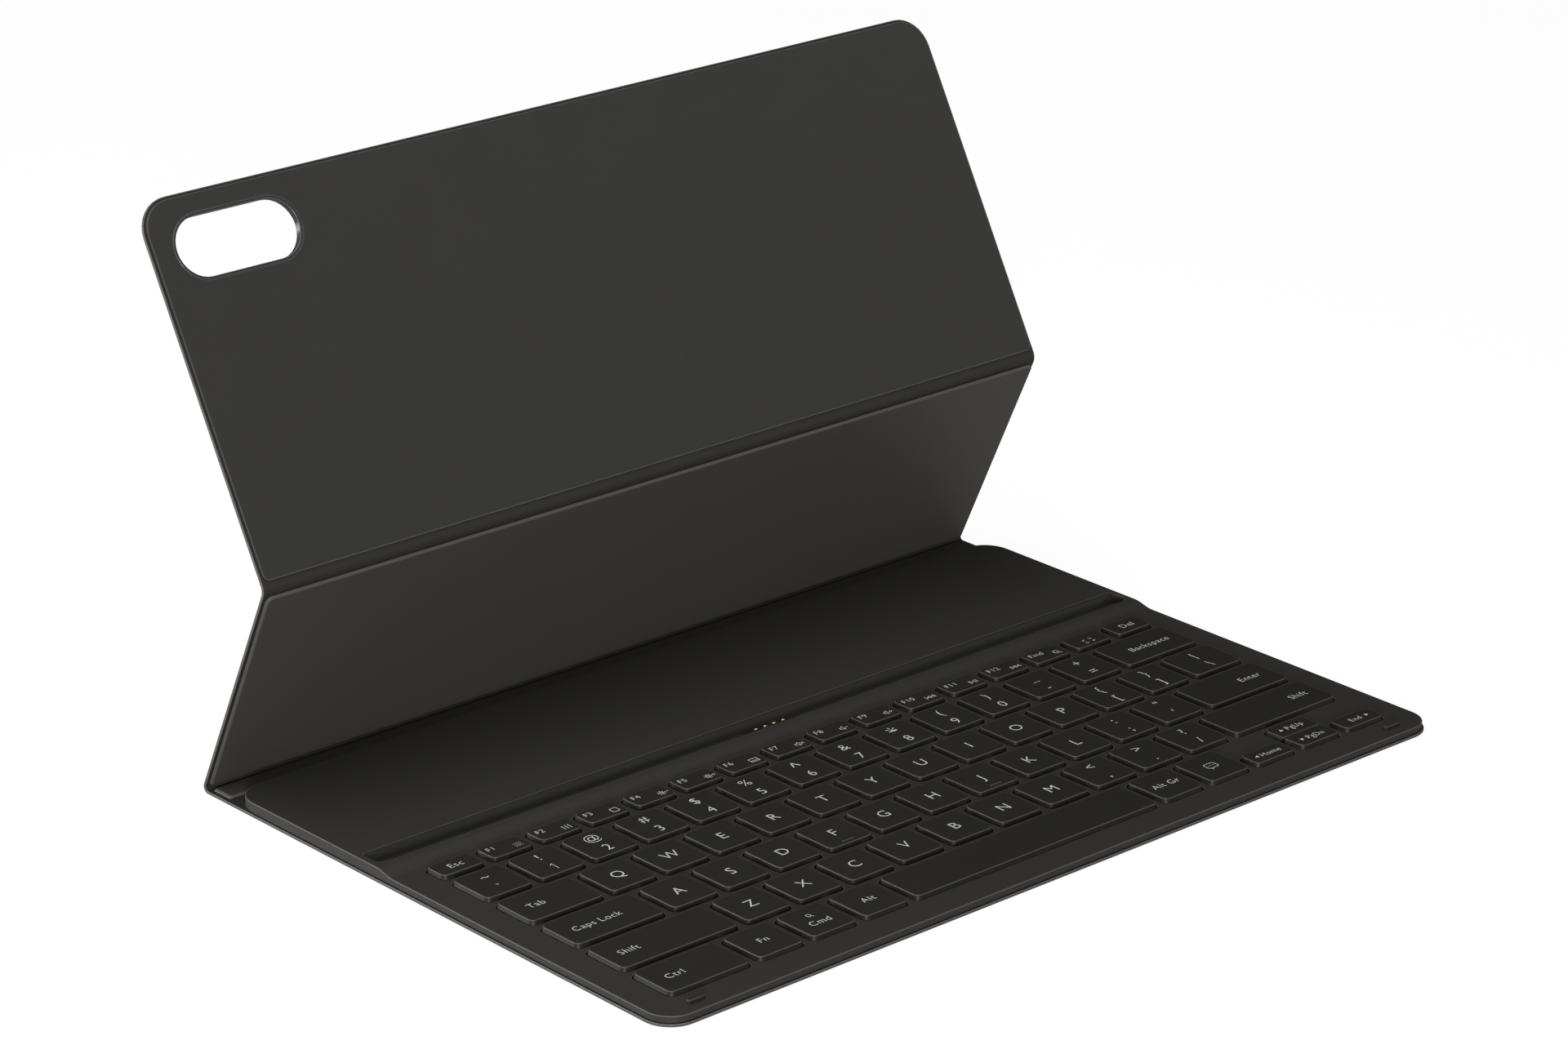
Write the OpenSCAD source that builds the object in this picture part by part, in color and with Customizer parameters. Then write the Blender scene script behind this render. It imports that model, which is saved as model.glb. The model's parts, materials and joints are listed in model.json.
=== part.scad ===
/* [Base] */
// Width of every panel of the cover
case_w = 286; // [280:0.5:300]
// Thickness of the outer skin
skin_t = 0.8; // [0.6:0.1:1.2]
// Length of the keyboard deck, front to back
deck_l = 182; // [176:1:196]
// Step from the edge of the skin to the wall of the deck
deck_inset = 0.5; // [0.3:0.1:1]
// Height of the deck around the keys, above the skin
deck_t = 2; // [1.9:0.1:2.6]
// Extra height of the platform behind the keys
rear_rise = 1.2; // [1.1:0.1:2]
// Front to back length of the curved step up to the platform
step_l = 7.2; // [5:0.2:8]
// Plain strip between the last row of wells and the curved step
step_gap = 0.9; // [0.6:0.1:1.4]
// Radius of the front corners of the skin
front_r = 8.5; // [6:0.5:12]
// Radius of the rear corners of the deck
rear_r = 9; // [5:0.5:12]

/* [Keys] */
// Plain strip from the side of the deck to the block of keys
block_margin = 9.75; // [8.5:0.25:12]
// Width of the backspace key, which sets the pitch of the others
backspace_w = 28.25; // [26:0.25:31]
// Space between the tops of two keys
key_gap = 2.85; // [2.6:0.05:3.1]
// Distance from the front edge of the skin to the first row
first_row_y = 10.5; // [9:0.25:11.5]
// Depth of the keys in the function row
f_key_d = 8.2; // [7.5:0.1:9]
// Width of the tabulator key
tab_w = 24.55; // [23:0.05:26]
// Width of the capitals key
caps_w = 29.9; // [28:0.05:31]
// Width of the left shift key
shift_w = 39; // [37:0.5:41]
// Width of the control key
control_w = 27; // [24:0.5:29]
// Space between the two stacked arrow keys
arrow_gap = 0.8; // [0.6:0.1:1.2]
// Height of the key tops above the deck
cap_rise = 1.2; // [1.1:0.1:1.6]
// Travel of a key
key_travel = 0.95; // [0.8:0.05:1]
// Corner radius of a key top
key_r = 1.8; // [1.2:0.1:2.4]
// Chamfer round a key top
key_chamfer = 0.25; // [0.1:0.05:0.4]
// Slope of a key wall, from its top to its foot
key_draft = 0.2; // [0.1:0.05:0.25]
// Clearance between a key top and its well
well_gap = 0.5; // [0.45:0.05:0.7]
// Thickness of a key's top plate
cap_top = 0.9; // [0.7:0.1:1]
// Thickness of a key's side wall
cap_wall = 0.7; // [0.5:0.1:0.9]
// Length of the raised bar on the two homing keys
homing_l = 4; // [3:0.5:5]

/* [Under the keys] */
// Thickness of the steel plate under the keys
plate_t = 0.25; // [0.2:0.05:0.3]
// Thickness of the printed switch membrane
membrane_t = 0.15; // [0.1:0.05:0.2]
// Height of a rubber dome, fully pressed
dome_h = 0.7; // [0.5:0.1:0.8]
// Foot radius of a rubber dome
dome_r = 2.4; // [2:0.1:2.6]
// Space between the wall of a key and the side of its scissor frame
scissor_side = 0.76; // [0.4:0.02:1.4]
// Width of the bars of a scissor frame
scissor_bar = 0.8; // [0.6:0.1:1]
// How far the well plate reaches past the wells
field_step = 1.2; // [0.9:0.1:1.6]
// Width of the flat tails of the membrane and of the dock
tail_w = 16; // [12:1:20]

/* [Dock] */
// Thickness of the tablet that stands in the dock
tablet_t = 5.6; // [5:0.1:6.2]
// Plain strip from the side of the deck to the dock insert
dock_margin = 2; // [1.2:0.1:4]
// Plain strip between the curved step and the dock
dock_setback = 1; // [0.8:0.1:2.5]
// Depth of the narrow front ledge of the dock
ledge_l = 0.5; // [0.4:0.1:1.6]
// Drop from the platform to the front ledge
ledge_drop = 0.4; // [0.3:0.05:0.6]
// Fall of the ramp from the ledge to the notch
ramp_drop = 2.3; // [2:0.05:2.4]
// Flat rim behind the back wall of the dock
dock_rim = 0.9; // [0.6:0.1:1.4]
// Radius of the front corners of the dock insert
dock_r = 3; // [2:0.5:3.5]
// Radius of its rear corners
dock_rear_r = 1; // [0.6:0.1:1]
// Width of the contact block
contact_w = 18; // [16:0.5:24]
// Distance between two contact pins
pin_pitch = 3.4; // [3:0.1:4]
// Radius of a contact pin
pin_r = 0.75; // [0.5:0.05:1]
// Number of contact pins
pin_count = 4; // [3:1:5]

/* [Front bumpers] */
// Distance from the side of the cover to the centre of a bumper
bumper_x = 13.7; // [11:0.1:20]
// Length of a bumper
bumper_w = 6.2; // [5:0.2:8]
// Width of a bumper
bumper_d = 1.5; // [1.2:0.1:2]
// Distance from the front edge of the skin to the bumpers
bumper_y = 5; // [4:0.25:6]

/* [Rear panels] */
// Distance between the two creases of the spine
spine_l = 11.5; // [10.5:0.25:14]
// Thickness of the raised plate on the spine
spine_plate_t = 0.7; // [0.5:0.1:0.8]
// Distance from the side of the cover to the end of the spine plate
spine_plate_x = 1.5; // [1:0.1:3]
// Distance from the rear crease to the spine plate
spine_plate_y = 2.7; // [2.2:0.1:4]
// Corner radius of the spine plate
spine_plate_r = 1; // [0.5:0.1:2]
// Height of the bevel round the spine plate
spine_bevel = 0.4; // [0.2:0.05:0.45]
// Height of the bevel round the lining plate of the lower panel
lining_bevel = 0.5; // [0.2:0.05:0.55]
// Length of the lower back panel, crease to crease
lower_l = 75; // [68:1:82]
// Length of the upper back panel, from the fold to its top edge
upper_l = 108.8; // [100:0.4:120]
// Lean of the lower back panel above the desk, in degrees
lower_lean = 65; // [58:0.5:70]
// Lean of the upper back panel above the desk, in degrees
upper_lean = 60.9; // [56:0.1:66]
// Thickness of the stiffener board inside a back panel
board_t = 0.3; // [0.2:0.05:0.5]
// Thickness of the lining plate of the lower panel
lower_lining_t = 0.8; // [0.6:0.1:1]
// Thickness of the soft lining of the upper panel
upper_lining_t = 0.5; // [0.4:0.1:0.8]
// Step from the edge of the skin to the edge of a lining
lining_inset = 0.9; // [0.6:0.1:1.4]
// Step from the edge of a lining to the edge of its board
board_step = 1.2; // [0.8:0.1:2]
// Radius of the corners of the linings at the creases
lining_r = 2; // [1:0.5:4]
// Radius of the top corners of the upper panel
top_r = 10; // [7:0.5:14]
// Radius of the flexible bead along a crease
bead_r = 0.35; // [0.25:0.05:0.4]

/* [Camera window] */
// Width of the window for the rear cameras
window_w = 40; // [34:1:46]
// Height of the window for the rear cameras
window_h = 17; // [14:0.5:20]
// Distance from the window's centre to the side edge of the panel
window_x = 28; // [26:1:34]
// Distance from the window's centre to the top edge of the panel
window_drop = 15.5; // [13:0.5:20]
// Thickness of the rim round the window
rim_t = 0.9; // [0.6:0.1:1.4]
// Height of the rim above the outer skin
rim_rise = 0.6; // [0.4:0.1:1]

/* [Pen pocket] */
// Radius of the bore that holds the pen
pen_r = 4.3; // [4:0.1:4.8]
// Length of the pocket
pocket_l = 150; // [135:1:160]
// Closed length at the blind end of the pocket
pocket_end = 4; // [3:0.5:8]
// Wall between the pen and the panel, and over the pen
pocket_wall = 0.8; // [0.7:0.05:1.2]
// Half of the foot width of the pocket
pocket_foot = 12; // [11.5:0.5:14]
// Space between the camera window and the pocket's mouth
pocket_gap = 6; // [4:0.5:10]

/* [Inner parts] */
// Number of magnet bars in the dock
dock_magnets_n = 6; // [4:1:8]
// Space between two magnet bars of the dock
dock_magnet_gap = 4; // [2:0.5:8]
// Space at each end of the row of dock magnets
dock_magnet_end = 9.5; // [4:0.5:20]
// Length of a magnet bar in the upper panel
panel_magnet_l = 30; // [20:1:40]
// Distance from the side of the cover to the outer panel magnets
panel_magnet_x = 47; // [36:1:60]
// Distance from the fold to the lower row of panel magnets
panel_magnet_y = 18; // [12:1:26]
// Distance from the top edge to the upper row of panel magnets
panel_magnet_drop = 30; // [27:0.5:36]
// Width of a magnet bar
magnet_w = 5; // [3:0.5:6]
// Space between the dock magnets and the controller board
board_setback = 5; // [4:1:16]
// Distance from the middle of the case to the middle of the controller board
board_x = 20; // [10:1:30]
// Length of the controller board
board_l = 88; // [70:1:100]
// Depth of the controller board
board_d = 18; // [14:1:22]

/* [Hidden] */

$fn = 48;
eps = 0.01;
homing_y = 1.9;          // from the front edge of a key top to its homing bar
homing_bar_w = 0.5;
homing_rise = 0.15;
fit_gap = 0.05;          // clearance between pieces glued into each other
run_gap = 0.3;           // clearance between pieces that turn past each other
arc_steps = 4;           // flats in each rounded key corner
step_points = 12;        // flats in the curved step
pocket_steps = 24;       // flats across the pen pocket

// Heights above the desk
plate_z = skin_t;
membrane_z = plate_z + plate_t;
switch_z = membrane_z + membrane_t;
deck_z = skin_t + deck_t;
platform_z = deck_z + rear_rise;
cap_z = deck_z + cap_rise;
foot_z = switch_z + fit_gap + key_travel;

// Places along the base, with y = 0 halfway along its underside
base_l = deck_inset + deck_l + deck_inset + 2 * bead_r + spine_l;
front_y = -base_l / 2;
deck_y0 = front_y + deck_inset;
deck_y1 = deck_y0 + deck_l;
deck_w = case_w - 2 * deck_inset;
skin_mid = skin_t / 2;
crease_gap = bead_r + run_gap;
spine_y = deck_y1 + skin_mid + spine_plate_t + run_gap;
rear_y = spine_y + spine_l;

// Keys: each is [left edge, front edge, width, depth] of its top
block_w = deck_w - 2 * block_margin;
digit_keys = 13;
key_pitch = (block_w - backspace_w) / digit_keys;
key_w = key_pitch - key_gap;
block_x = -block_w / 2;
arrow_d = (key_w - arrow_gap) / 2;
function sum(v, i = 0) = i < len(v) ? v[i] + sum(v, i + 1) : 0;
function repeat(w, n) = [for (i = [1:n]) w];
function filled(ws) = concat(ws, [block_w - sum(ws) - len(ws) * key_gap]);
function row_y(i) = front_y + first_row_y + i * key_pitch;
function key_row(ws, i, d) =
    [for (j = 0, x = block_x; j < len(ws); x = x + ws[j] + key_gap, j = j + 1) [x, row_y(i), ws[j], d]];
space_w = block_w - control_w - 8 * key_w - 9 * key_gap;
bottom_row = key_row(concat([control_w], repeat(key_w, 3), [space_w], repeat(key_w, 5)), 0, key_w);
z_row = key_row(filled(concat([shift_w], repeat(key_w, 10))), 1, key_w);
a_row = key_row(filled(concat([caps_w], repeat(key_w, 11))), 2, key_w);
q_row = key_row(filled(concat([tab_w], repeat(key_w, 12))), 3, key_w);
digit_row = key_row(filled(repeat(key_w, digit_keys)), 4, key_w);
f_key_w = (block_w - 15 * key_gap) / 16;
f_row = key_row(repeat(f_key_w, 16), 5, f_key_d);
scissor_w = f_key_w - 2 * (cap_wall + scissor_side);
scissor_front = 1;       // what a scissor frame leaves free inside its key, front to back
dome_gap = 0.15;         // between a dome and the bars of its scissor frame
function lower_half(k) = [k[0], k[1], k[2], arrow_d];
function upper_half(k) = [k[0], k[1] + arrow_d + arrow_gap, k[2], arrow_d];
arrow_left = lower_half(bottom_row[7]);
arrow_up = upper_half(bottom_row[8]);
arrow_down = lower_half(bottom_row[8]);
arrow_right = lower_half(bottom_row[9]);
function part_of(row, first, last) = [for (i = [first:last]) row[i]];
full_keys = concat(part_of(bottom_row, 0, 6), z_row, a_row, q_row, digit_row, f_row);
all_keys = concat(full_keys, [arrow_left, arrow_up, arrow_down, arrow_right]);
wells = concat(full_keys, [arrow_left, bottom_row[8], arrow_right]);
key_field_y = front_y + first_row_y;
key_field_l = 5 * key_pitch + f_key_d;
field_edge = well_gap + field_step;

// Dock: the tablet's foot lies on the ramp and its back on the wall
step_y0 = key_field_y + key_field_l + well_gap + step_gap;
step_y1 = step_y0 + step_l;
dock_y0 = step_y1 + dock_setback;
ledge_z = platform_z - ledge_drop;
ramp_y0 = dock_y0 + ledge_l;
notch_y = ramp_y0 + tablet_t * sin(upper_lean);
notch_z = ledge_z - ramp_drop;
wall_y1 = notch_y + (platform_z - notch_z) / tan(upper_lean);
dock_y1 = wall_y1 + dock_rim;
dock_l = dock_y1 - dock_y0;
dock_w = deck_w - 2 * dock_margin;
hatch_z = skin_t + 0.25;          // top of the flat channels for the tails

// Rear cavity of the deck
roof_t = 0.9;
cavity_wall = 3;
cavity_y0 = dock_y1 + cavity_wall;
cavity_y1 = deck_y1 - cavity_wall;
cavity_w = deck_w - 2 * rear_r;
dock_magnet_l = (cavity_w - 2 * dock_magnet_end - (dock_magnets_n - 1) * dock_magnet_gap) / dock_magnets_n;
board_y = cavity_y0 + magnet_w + board_setback;
tail_x = 30;
tail_z = skin_t + 0.02;
tail_dip = 0.55;         // how far the membrane's tail runs while it comes down
membrane_step = 0.4;     // from the edge of the plate to the edge of the membrane

// Back panels: local y runs up the panel and local z points to its inner side
rear_z = skin_mid;
fold_y = rear_y - lower_l * cos(lower_lean);
fold_z = rear_z + lower_l * sin(lower_lean);
inner_start = crease_gap + skin_t + board_t + lower_lining_t;
fold_gap = inner_start - 1;       // space between the lower lining and the fold
window_cx = -case_w / 2 + window_x;
window_cy = upper_l - window_drop;
pocket_x = window_cx + window_w / 2 + rim_t + pocket_gap;
pocket_h = 2 * (pen_r + pocket_wall);
pen_z = -skin_mid - pocket_wall - pen_r;
pocket_crown = 0.3;      // extra height of the pocket over its bore

function arc(x, y, r, from) = [for (i = [0:arc_steps]) let (a = from + 90 * i / arc_steps)
    [x + r * cos(a), y + r * sin(a)]];
function round_rect(x, y, w, d, r) = concat(
    arc(x + w - r, y + r, r, -90), arc(x + w - r, y + d - r, r, 0),
    arc(x + r, y + d - r, r, 90), arc(x + r, y + r, r, 180));
function grown(k, g) = round_rect(k[0] - g, k[1] - g, k[2] + 2 * g, k[3] + 2 * g, key_r + g);

// Flat outline centred on x, from y = 0 to y = l
module rounded_plan(w, l, r0, r1) {
    translate([-w / 2, r0]) square([w, l - r0 - r1]);
    rounded_end(w, r0);
    translate([0, l]) mirror([0, 1]) rounded_end(w, r1);
}

module rounded_end(w, r) {
    if (r > 0) {
        translate([-w / 2 + r, 0]) square([w - 2 * r, r + eps]);
        for (side = [-1, 1]) translate([side * (w / 2 - r), r]) circle(r);
    }
}

module pill(w, h) {
    square([w - h, h], center = true);
    for (side = [-1, 1]) translate([side * (w - h) / 2, 0]) circle(h / 2);
}

// Profile drawn as (y, z) and pulled along x
module along_x(w) {
    rotate([90, 0, 90]) translate([0, 0, -w / 2]) linear_extrude(w) children();
}

module on_lower() {
    translate([0, rear_y, rear_z]) rotate([180 - lower_lean, 0, 0]) children();
}

module on_upper() {
    translate([0, fold_y, fold_z]) rotate([upper_lean, 0, 0]) children();
}

// ---- Base ----
module base_skin() {
    color([0.17, 0.165, 0.155])
    translate([0, front_y, 0]) linear_extrude(skin_t)
        rounded_plan(case_w, spine_y - crease_gap - front_y, front_r, 0);
}

module deck_profile() {
    step = [for (i = [0:step_points]) let (t = i / step_points)
        [step_y0 + step_l * t, deck_z + rear_rise * (1 - cos(180 * t)) / 2]];
    polygon(concat([[deck_y0, skin_t], [deck_y0, deck_z]], step,
        [[deck_y1, platform_z], [deck_y1, skin_t]]));
}

module dock_plan(g) {
    translate([0, dock_y0 - g]) rounded_plan(dock_w + 2 * g, dock_l + 2 * g, dock_r + g, dock_rear_r + g);
}

// Slot in the underside for a flat tail
module tail_channel(x, y0, y1, top = hatch_z) {
    translate([x - tail_w / 2 - fit_gap, y0, skin_t - 1])
        cube([tail_w + 2 * fit_gap, y1 - y0, top - skin_t + 1]);
}

module keyboard_deck() {
    color([0.2, 0.198, 0.19])
    difference() {
        intersection() {
            linear_extrude(platform_z + 1) difference() {
                translate([0, deck_y0]) rounded_plan(deck_w, deck_l, front_r - deck_inset, rear_r);
                for (k = wells) polygon(grown(k, well_gap));
                dock_plan(fit_gap);
            }
            along_x(case_w) deck_profile();
        }
        // Recess for the steel plate and the membrane
        translate([-block_w / 2 - field_edge, key_field_y - field_edge, skin_t - 1])
            cube([block_w + 2 * field_edge, key_field_l + 2 * field_edge, switch_z - skin_t + 1]);
        // Space for the magnets and the controller board
        translate([-cavity_w / 2, cavity_y0, skin_t - 1])
            cube([cavity_w, cavity_y1 - cavity_y0, platform_z - roof_t - skin_t + 1]);
        tail_channel(tail_x, key_field_y + key_field_l,
            key_field_y + key_field_l + field_edge + 1, switch_z + fit_gap);
        tail_channel(tail_x, key_field_y + key_field_l, dock_y0 + 1);
        tail_channel(tail_x, dock_y1 - 1, cavity_y0 + 1);
        tail_channel(0, dock_y1 - 1, cavity_y0 + 1);
    }
}

module support_plate() {
    color("silver")
    translate([-block_w / 2 - field_edge + fit_gap, key_field_y - field_edge + fit_gap, plate_z])
        cube([block_w + 2 * field_edge - 2 * fit_gap, key_field_l + 2 * field_edge - 2 * fit_gap, plate_t]);
}

module key_membrane() {
    edge = field_edge - membrane_step;
    end_y = key_field_y + key_field_l + edge;
    drop_y = end_y + membrane_step + fit_gap;
    color("darkseagreen") {
        translate([-block_w / 2 - edge, key_field_y - edge, membrane_z])
            cube([block_w + 2 * edge, key_field_l + 2 * edge, membrane_t]);
        // Flat tail that dips off the plate and runs back under the dock
        translate([tail_x, 0, 0]) along_x(tail_w) polygon([
            [end_y - membrane_step, membrane_z], [end_y - membrane_step, switch_z], [drop_y, switch_z],
            [drop_y + tail_dip, tail_z + membrane_t], [board_y, tail_z + membrane_t], [board_y, tail_z],
            [drop_y + fit_gap, tail_z], [drop_y - fit_gap, membrane_z]]);
    }
}

module rubber_domes() {
    color("gainsboro")
    for (k = all_keys) {
        r = min(dome_r, (k[3] - 2 * cap_wall - scissor_front) / 2 - scissor_bar - dome_gap);
        translate([k[0] + k[2] / 2, k[1] + k[3] / 2, switch_z])
            cylinder(h = dome_h, r1 = r, r2 = r * 0.7, $fn = 24);
    }
}

module scissor_frames() {
    color("whitesmoke")
    for (k = all_keys) {
        d = k[3] - 2 * cap_wall - scissor_front;
        translate([k[0] + k[2] / 2, k[1] + k[3] / 2, switch_z + dome_h / 2]) difference() {
            cube([scissor_w, d, dome_h], center = true);
            cube([scissor_w - 2 * scissor_bar, d - 2 * scissor_bar, dome_h + 1], center = true);
        }
    }
}

module front_bumpers() {
    color([0.12, 0.12, 0.12])
    for (side = [-1, 1]) translate([side * (case_w / 2 - bumper_x), front_y + bumper_y, deck_z])
        linear_extrude(cap_rise) pill(bumper_w, bumper_d);
}

// ---- Dock ----
module dock_insert() {
    color([0.15, 0.15, 0.145])
    difference() {
        intersection() {
            linear_extrude(platform_z + 1) dock_plan(0);
            along_x(case_w) polygon([
                [dock_y0 - 1, skin_t], [dock_y0 - 1, ledge_z], [ramp_y0, ledge_z], [notch_y, notch_z],
                [wall_y1, platform_z], [dock_y1 + 1, platform_z], [dock_y1 + 1, skin_t]]);
        }
        tail_channel(tail_x, dock_y0 - 1, dock_y1 + 1);
        tail_channel(0, notch_y - flex_reach, dock_y1 + 1);
        on_ramp(0) cube([contact_w + 2 * fit_gap, contact_d + 2 * fit_gap, 2 * contact_h], center = true);
    }
}

contact_d = 3.2;         // width of the contact block along the ramp
contact_h = 0.9;         // depth of the contact block under the ramp
contact_rise = 0.15;     // height of the contact block above the ramp
pin_rise = 0.45;         // height of a pin above its block
flex_reach = 1.2;        // how far the flat tail runs in under the ramp

// Middle of the ramp at height h above it, with z along the ramp's normal
module on_ramp(h) {
    translate([0, (ramp_y0 + notch_y) / 2, (ledge_z + notch_z) / 2])
        rotate([-atan2(ledge_z - notch_z, notch_y - ramp_y0), 0, 0]) translate([0, 0, h]) children();
}

module contact_block() {
    color([0.08, 0.08, 0.08])
    on_ramp((contact_rise - contact_h) / 2) difference() {
        cube([contact_w, contact_d, contact_h + contact_rise], center = true);
        for (i = [0:pin_count - 1]) translate([(i - (pin_count - 1) / 2) * pin_pitch, 0, 0])
            cylinder(h = contact_h + contact_rise + 1, r = pin_r + 0.02, center = true);
    }
}

module contact_pins() {
    color("gold")
    on_ramp(-contact_h) for (i = [0:pin_count - 1])
        translate([(i - (pin_count - 1) / 2) * pin_pitch, 0, 0]) {
            cylinder(h = contact_h + contact_rise + pin_rise, r = pin_r);
        }
}

module dock_magnets() {
    color("gray")
    for (i = [0:dock_magnets_n - 1])
        translate([(i - (dock_magnets_n - 1) / 2) * (dock_magnet_l + dock_magnet_gap),
            cavity_y0 + magnet_w / 2, hatch_z])
            linear_extrude(platform_z - roof_t - hatch_z) square([dock_magnet_l, magnet_w], center = true);
}

// Chips: each is [place along the board as a share of it, width, depth]
chips = [[-0.3, 7, 7], [-0.07, 9, 5], [0.16, 5, 5], [0.3, 6, 4]];
laminate_t = 0.6;
chip_t = 0.8;

module controller_board() {
    color("darkgreen") translate([board_x, board_y + board_d / 2, skin_t]) {
        translate([-board_l / 2, -board_d / 2, 0]) cube([board_l, board_d, laminate_t]);
        for (c = chips) translate([c[0] * board_l, 0, laminate_t + (chip_t - eps) / 2])
            cube([c[1], c[2], chip_t + eps], center = true);
    }
}

module dock_flex() {
    color("darkorange")
    translate([-tail_w / 2, notch_y - flex_reach, tail_z])
        cube([tail_w, board_y - notch_y + flex_reach, membrane_t]);
}

// ---- Spine ----
module bead(y, z) {
    translate([-case_w / 2, y, z]) rotate([0, 90, 0]) cylinder(h = case_w, r = bead_r);
}

module spine_crease() {
    color([0.16, 0.155, 0.15]) bead(spine_y, skin_mid);
}

module spine_skin() {
    color([0.17, 0.165, 0.155])
    translate([-case_w / 2, spine_y + crease_gap, 0]) cube([case_w, spine_l - 2 * crease_gap, skin_t]);
}

// Plate with bevelled long edges, drawn from y0 to y1 with its foot at z = 0
module bevelled_strip(w, y0, y1, t, bevel) {
    intersection() {
        along_x(w) polygon([[y0, 0], [y0, t - bevel], [y0 + bevel * 1.5, t],
            [y1 - bevel * 1.5, t], [y1, t - bevel], [y1, 0]]);
        rotate([90, 0, 0]) translate([0, 0, -y1]) linear_extrude(y1 - y0) polygon([
            [-w / 2, 0], [-w / 2, t - bevel], [-w / 2 + bevel * 1.5, t],
            [w / 2 - bevel * 1.5, t], [w / 2, t - bevel], [w / 2, 0]]);
        linear_extrude(t) translate([0, y0]) children();
    }
}

module spine_plate() {
    w = case_w - 2 * spine_plate_x;
    y0 = crease_gap + 2 * fit_gap;
    y1 = spine_l - spine_plate_y;
    color([0.15, 0.148, 0.14])
    translate([0, spine_y, skin_t]) bevelled_strip(w, y0, y1, spine_plate_t, spine_bevel)
        rounded_plan(w, y1 - y0, spine_plate_r, spine_plate_r);
}

module rear_crease() {
    color([0.16, 0.155, 0.15]) bead(rear_y, rear_z);
}

// ---- Lower back panel ----
lower_end = lower_l - crease_gap;
lining_w = case_w - 2 * lining_inset;
board_w = lining_w - 2 * board_step;

module lower_skin() {
    color([0.17, 0.165, 0.155])
    on_lower() translate([-case_w / 2, crease_gap, -skin_mid])
        cube([case_w, lower_end - crease_gap, skin_t]);
}

module lower_board() {
    color([0.05, 0.05, 0.05])
    on_lower() translate([-board_w / 2, inner_start + board_step, skin_mid])
        cube([board_w, lower_l - fold_gap - inner_start - 2 * board_step, board_t]);
}

module lower_lining() {
    y1 = lower_l - fold_gap;
    color([0.16, 0.155, 0.15])
    on_lower() translate([0, 0, skin_mid + board_t])
        bevelled_strip(lining_w, inner_start, y1, lower_lining_t, lining_bevel)
            rounded_plan(lining_w, y1 - inner_start, lining_r, lining_r);
}

module fold_crease() {
    color([0.16, 0.155, 0.15]) bead(fold_y, fold_z);
}

// ---- Upper back panel ----
module window_hole(g) {
    translate([window_cx, window_cy]) pill(window_w + 2 * g, window_h + 2 * g);
}

module upper_skin() {
    color([0.17, 0.165, 0.155])
    on_upper() translate([0, 0, -skin_mid]) linear_extrude(skin_t) difference() {
        translate([0, crease_gap]) rounded_plan(case_w, upper_l - crease_gap, 0, top_r);
        window_hole(rim_t + fit_gap);
    }
}

module magnet_spots() {
    half = case_w / 2 - panel_magnet_x;
    for (x = [-half, -half / 3, half / 3, half], y = [panel_magnet_y, upper_l - panel_magnet_drop])
        translate([x, y]) children();
}

module upper_board() {
    y0 = inner_start + board_step;
    inset = lining_inset + board_step;
    color([0.05, 0.05, 0.05])
    on_upper() translate([0, 0, skin_mid]) linear_extrude(board_t) difference() {
        translate([0, y0]) rounded_plan(board_w, upper_l - inset - y0, lining_r, top_r - inset);
        window_hole(rim_t + fit_gap);
        magnet_spots() square([panel_magnet_l + 2 * fit_gap, magnet_w + 2 * fit_gap], center = true);
    }
}

module upper_lining() {
    color([0.13, 0.13, 0.125])
    on_upper() translate([0, 0, skin_mid + board_t]) linear_extrude(upper_lining_t) difference() {
        translate([0, inner_start]) rounded_plan(lining_w, upper_l - lining_inset - inner_start,
            lining_r, top_r - lining_inset);
        window_hole(rim_t + fit_gap);
    }
}

module panel_magnets() {
    color("gray")
    on_upper() translate([0, 0, skin_mid]) linear_extrude(board_t)
        magnet_spots() square([panel_magnet_l, magnet_w], center = true);
}

module camera_rim() {
    color([0.1, 0.1, 0.1])
    on_upper() translate([0, 0, -skin_mid - rim_rise])
        linear_extrude(rim_rise + skin_t + board_t + upper_lining_t) difference() {
            window_hole(rim_t);
            window_hole(0);
        }
}

// Rounded ridge whose height falls off as a squared cosine
module pocket_outline() {
    polygon([for (i = [0:pocket_steps]) let (y = pocket_foot * (2 * i / pocket_steps - 1))
        [y, -skin_mid - (pocket_h + pocket_crown) * pow(cos(90 * y / pocket_foot), 2)]]);
}

module pen_pocket() {
    color([0.17, 0.165, 0.155])
    on_upper() translate([pocket_x, window_cy, 0]) difference() {
        translate([pocket_l / 2, 0, 0]) along_x(pocket_l) pocket_outline();
        translate([-1, 0, pen_z]) rotate([0, 90, 0]) cylinder(h = pocket_l - pocket_end + 1, r = pen_r);
    }
}

// ---- Keys ----
// Side view of a key from its foot to its chamfered top
module cap_profile(w) {
    polygon([[-key_draft, foot_z], [0, cap_z - key_chamfer], [key_chamfer, cap_z],
        [w - key_chamfer, cap_z], [w, cap_z - key_chamfer], [w + key_draft, foot_z]]);
}

module key_cap(k) {
    difference() {
        intersection() {
            linear_extrude(cap_z + 1) polygon(grown(k, key_draft));
            translate([k[0], k[1] + k[3] + 1, 0]) rotate([90, 0, 0])
                linear_extrude(k[3] + 2) cap_profile(k[2]);
            translate([k[0] + k[2] / 2, k[1], 0]) along_x(k[2] + 2) cap_profile(k[3]);
        }
        translate([k[0] + cap_wall, k[1] + cap_wall, foot_z - 1])
            cube([k[2] - 2 * cap_wall, k[3] - 2 * cap_wall, cap_z - cap_top - foot_z + 1]);
    }
}

// A set of keys, with a raised bar on the homing key where there is one
module key_caps(keys, homing = undef) {
    color([0.14, 0.14, 0.135]) {
        for (k = keys) key_cap(k);
        if (homing != undef) homing_bar(homing);
    }
}

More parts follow.
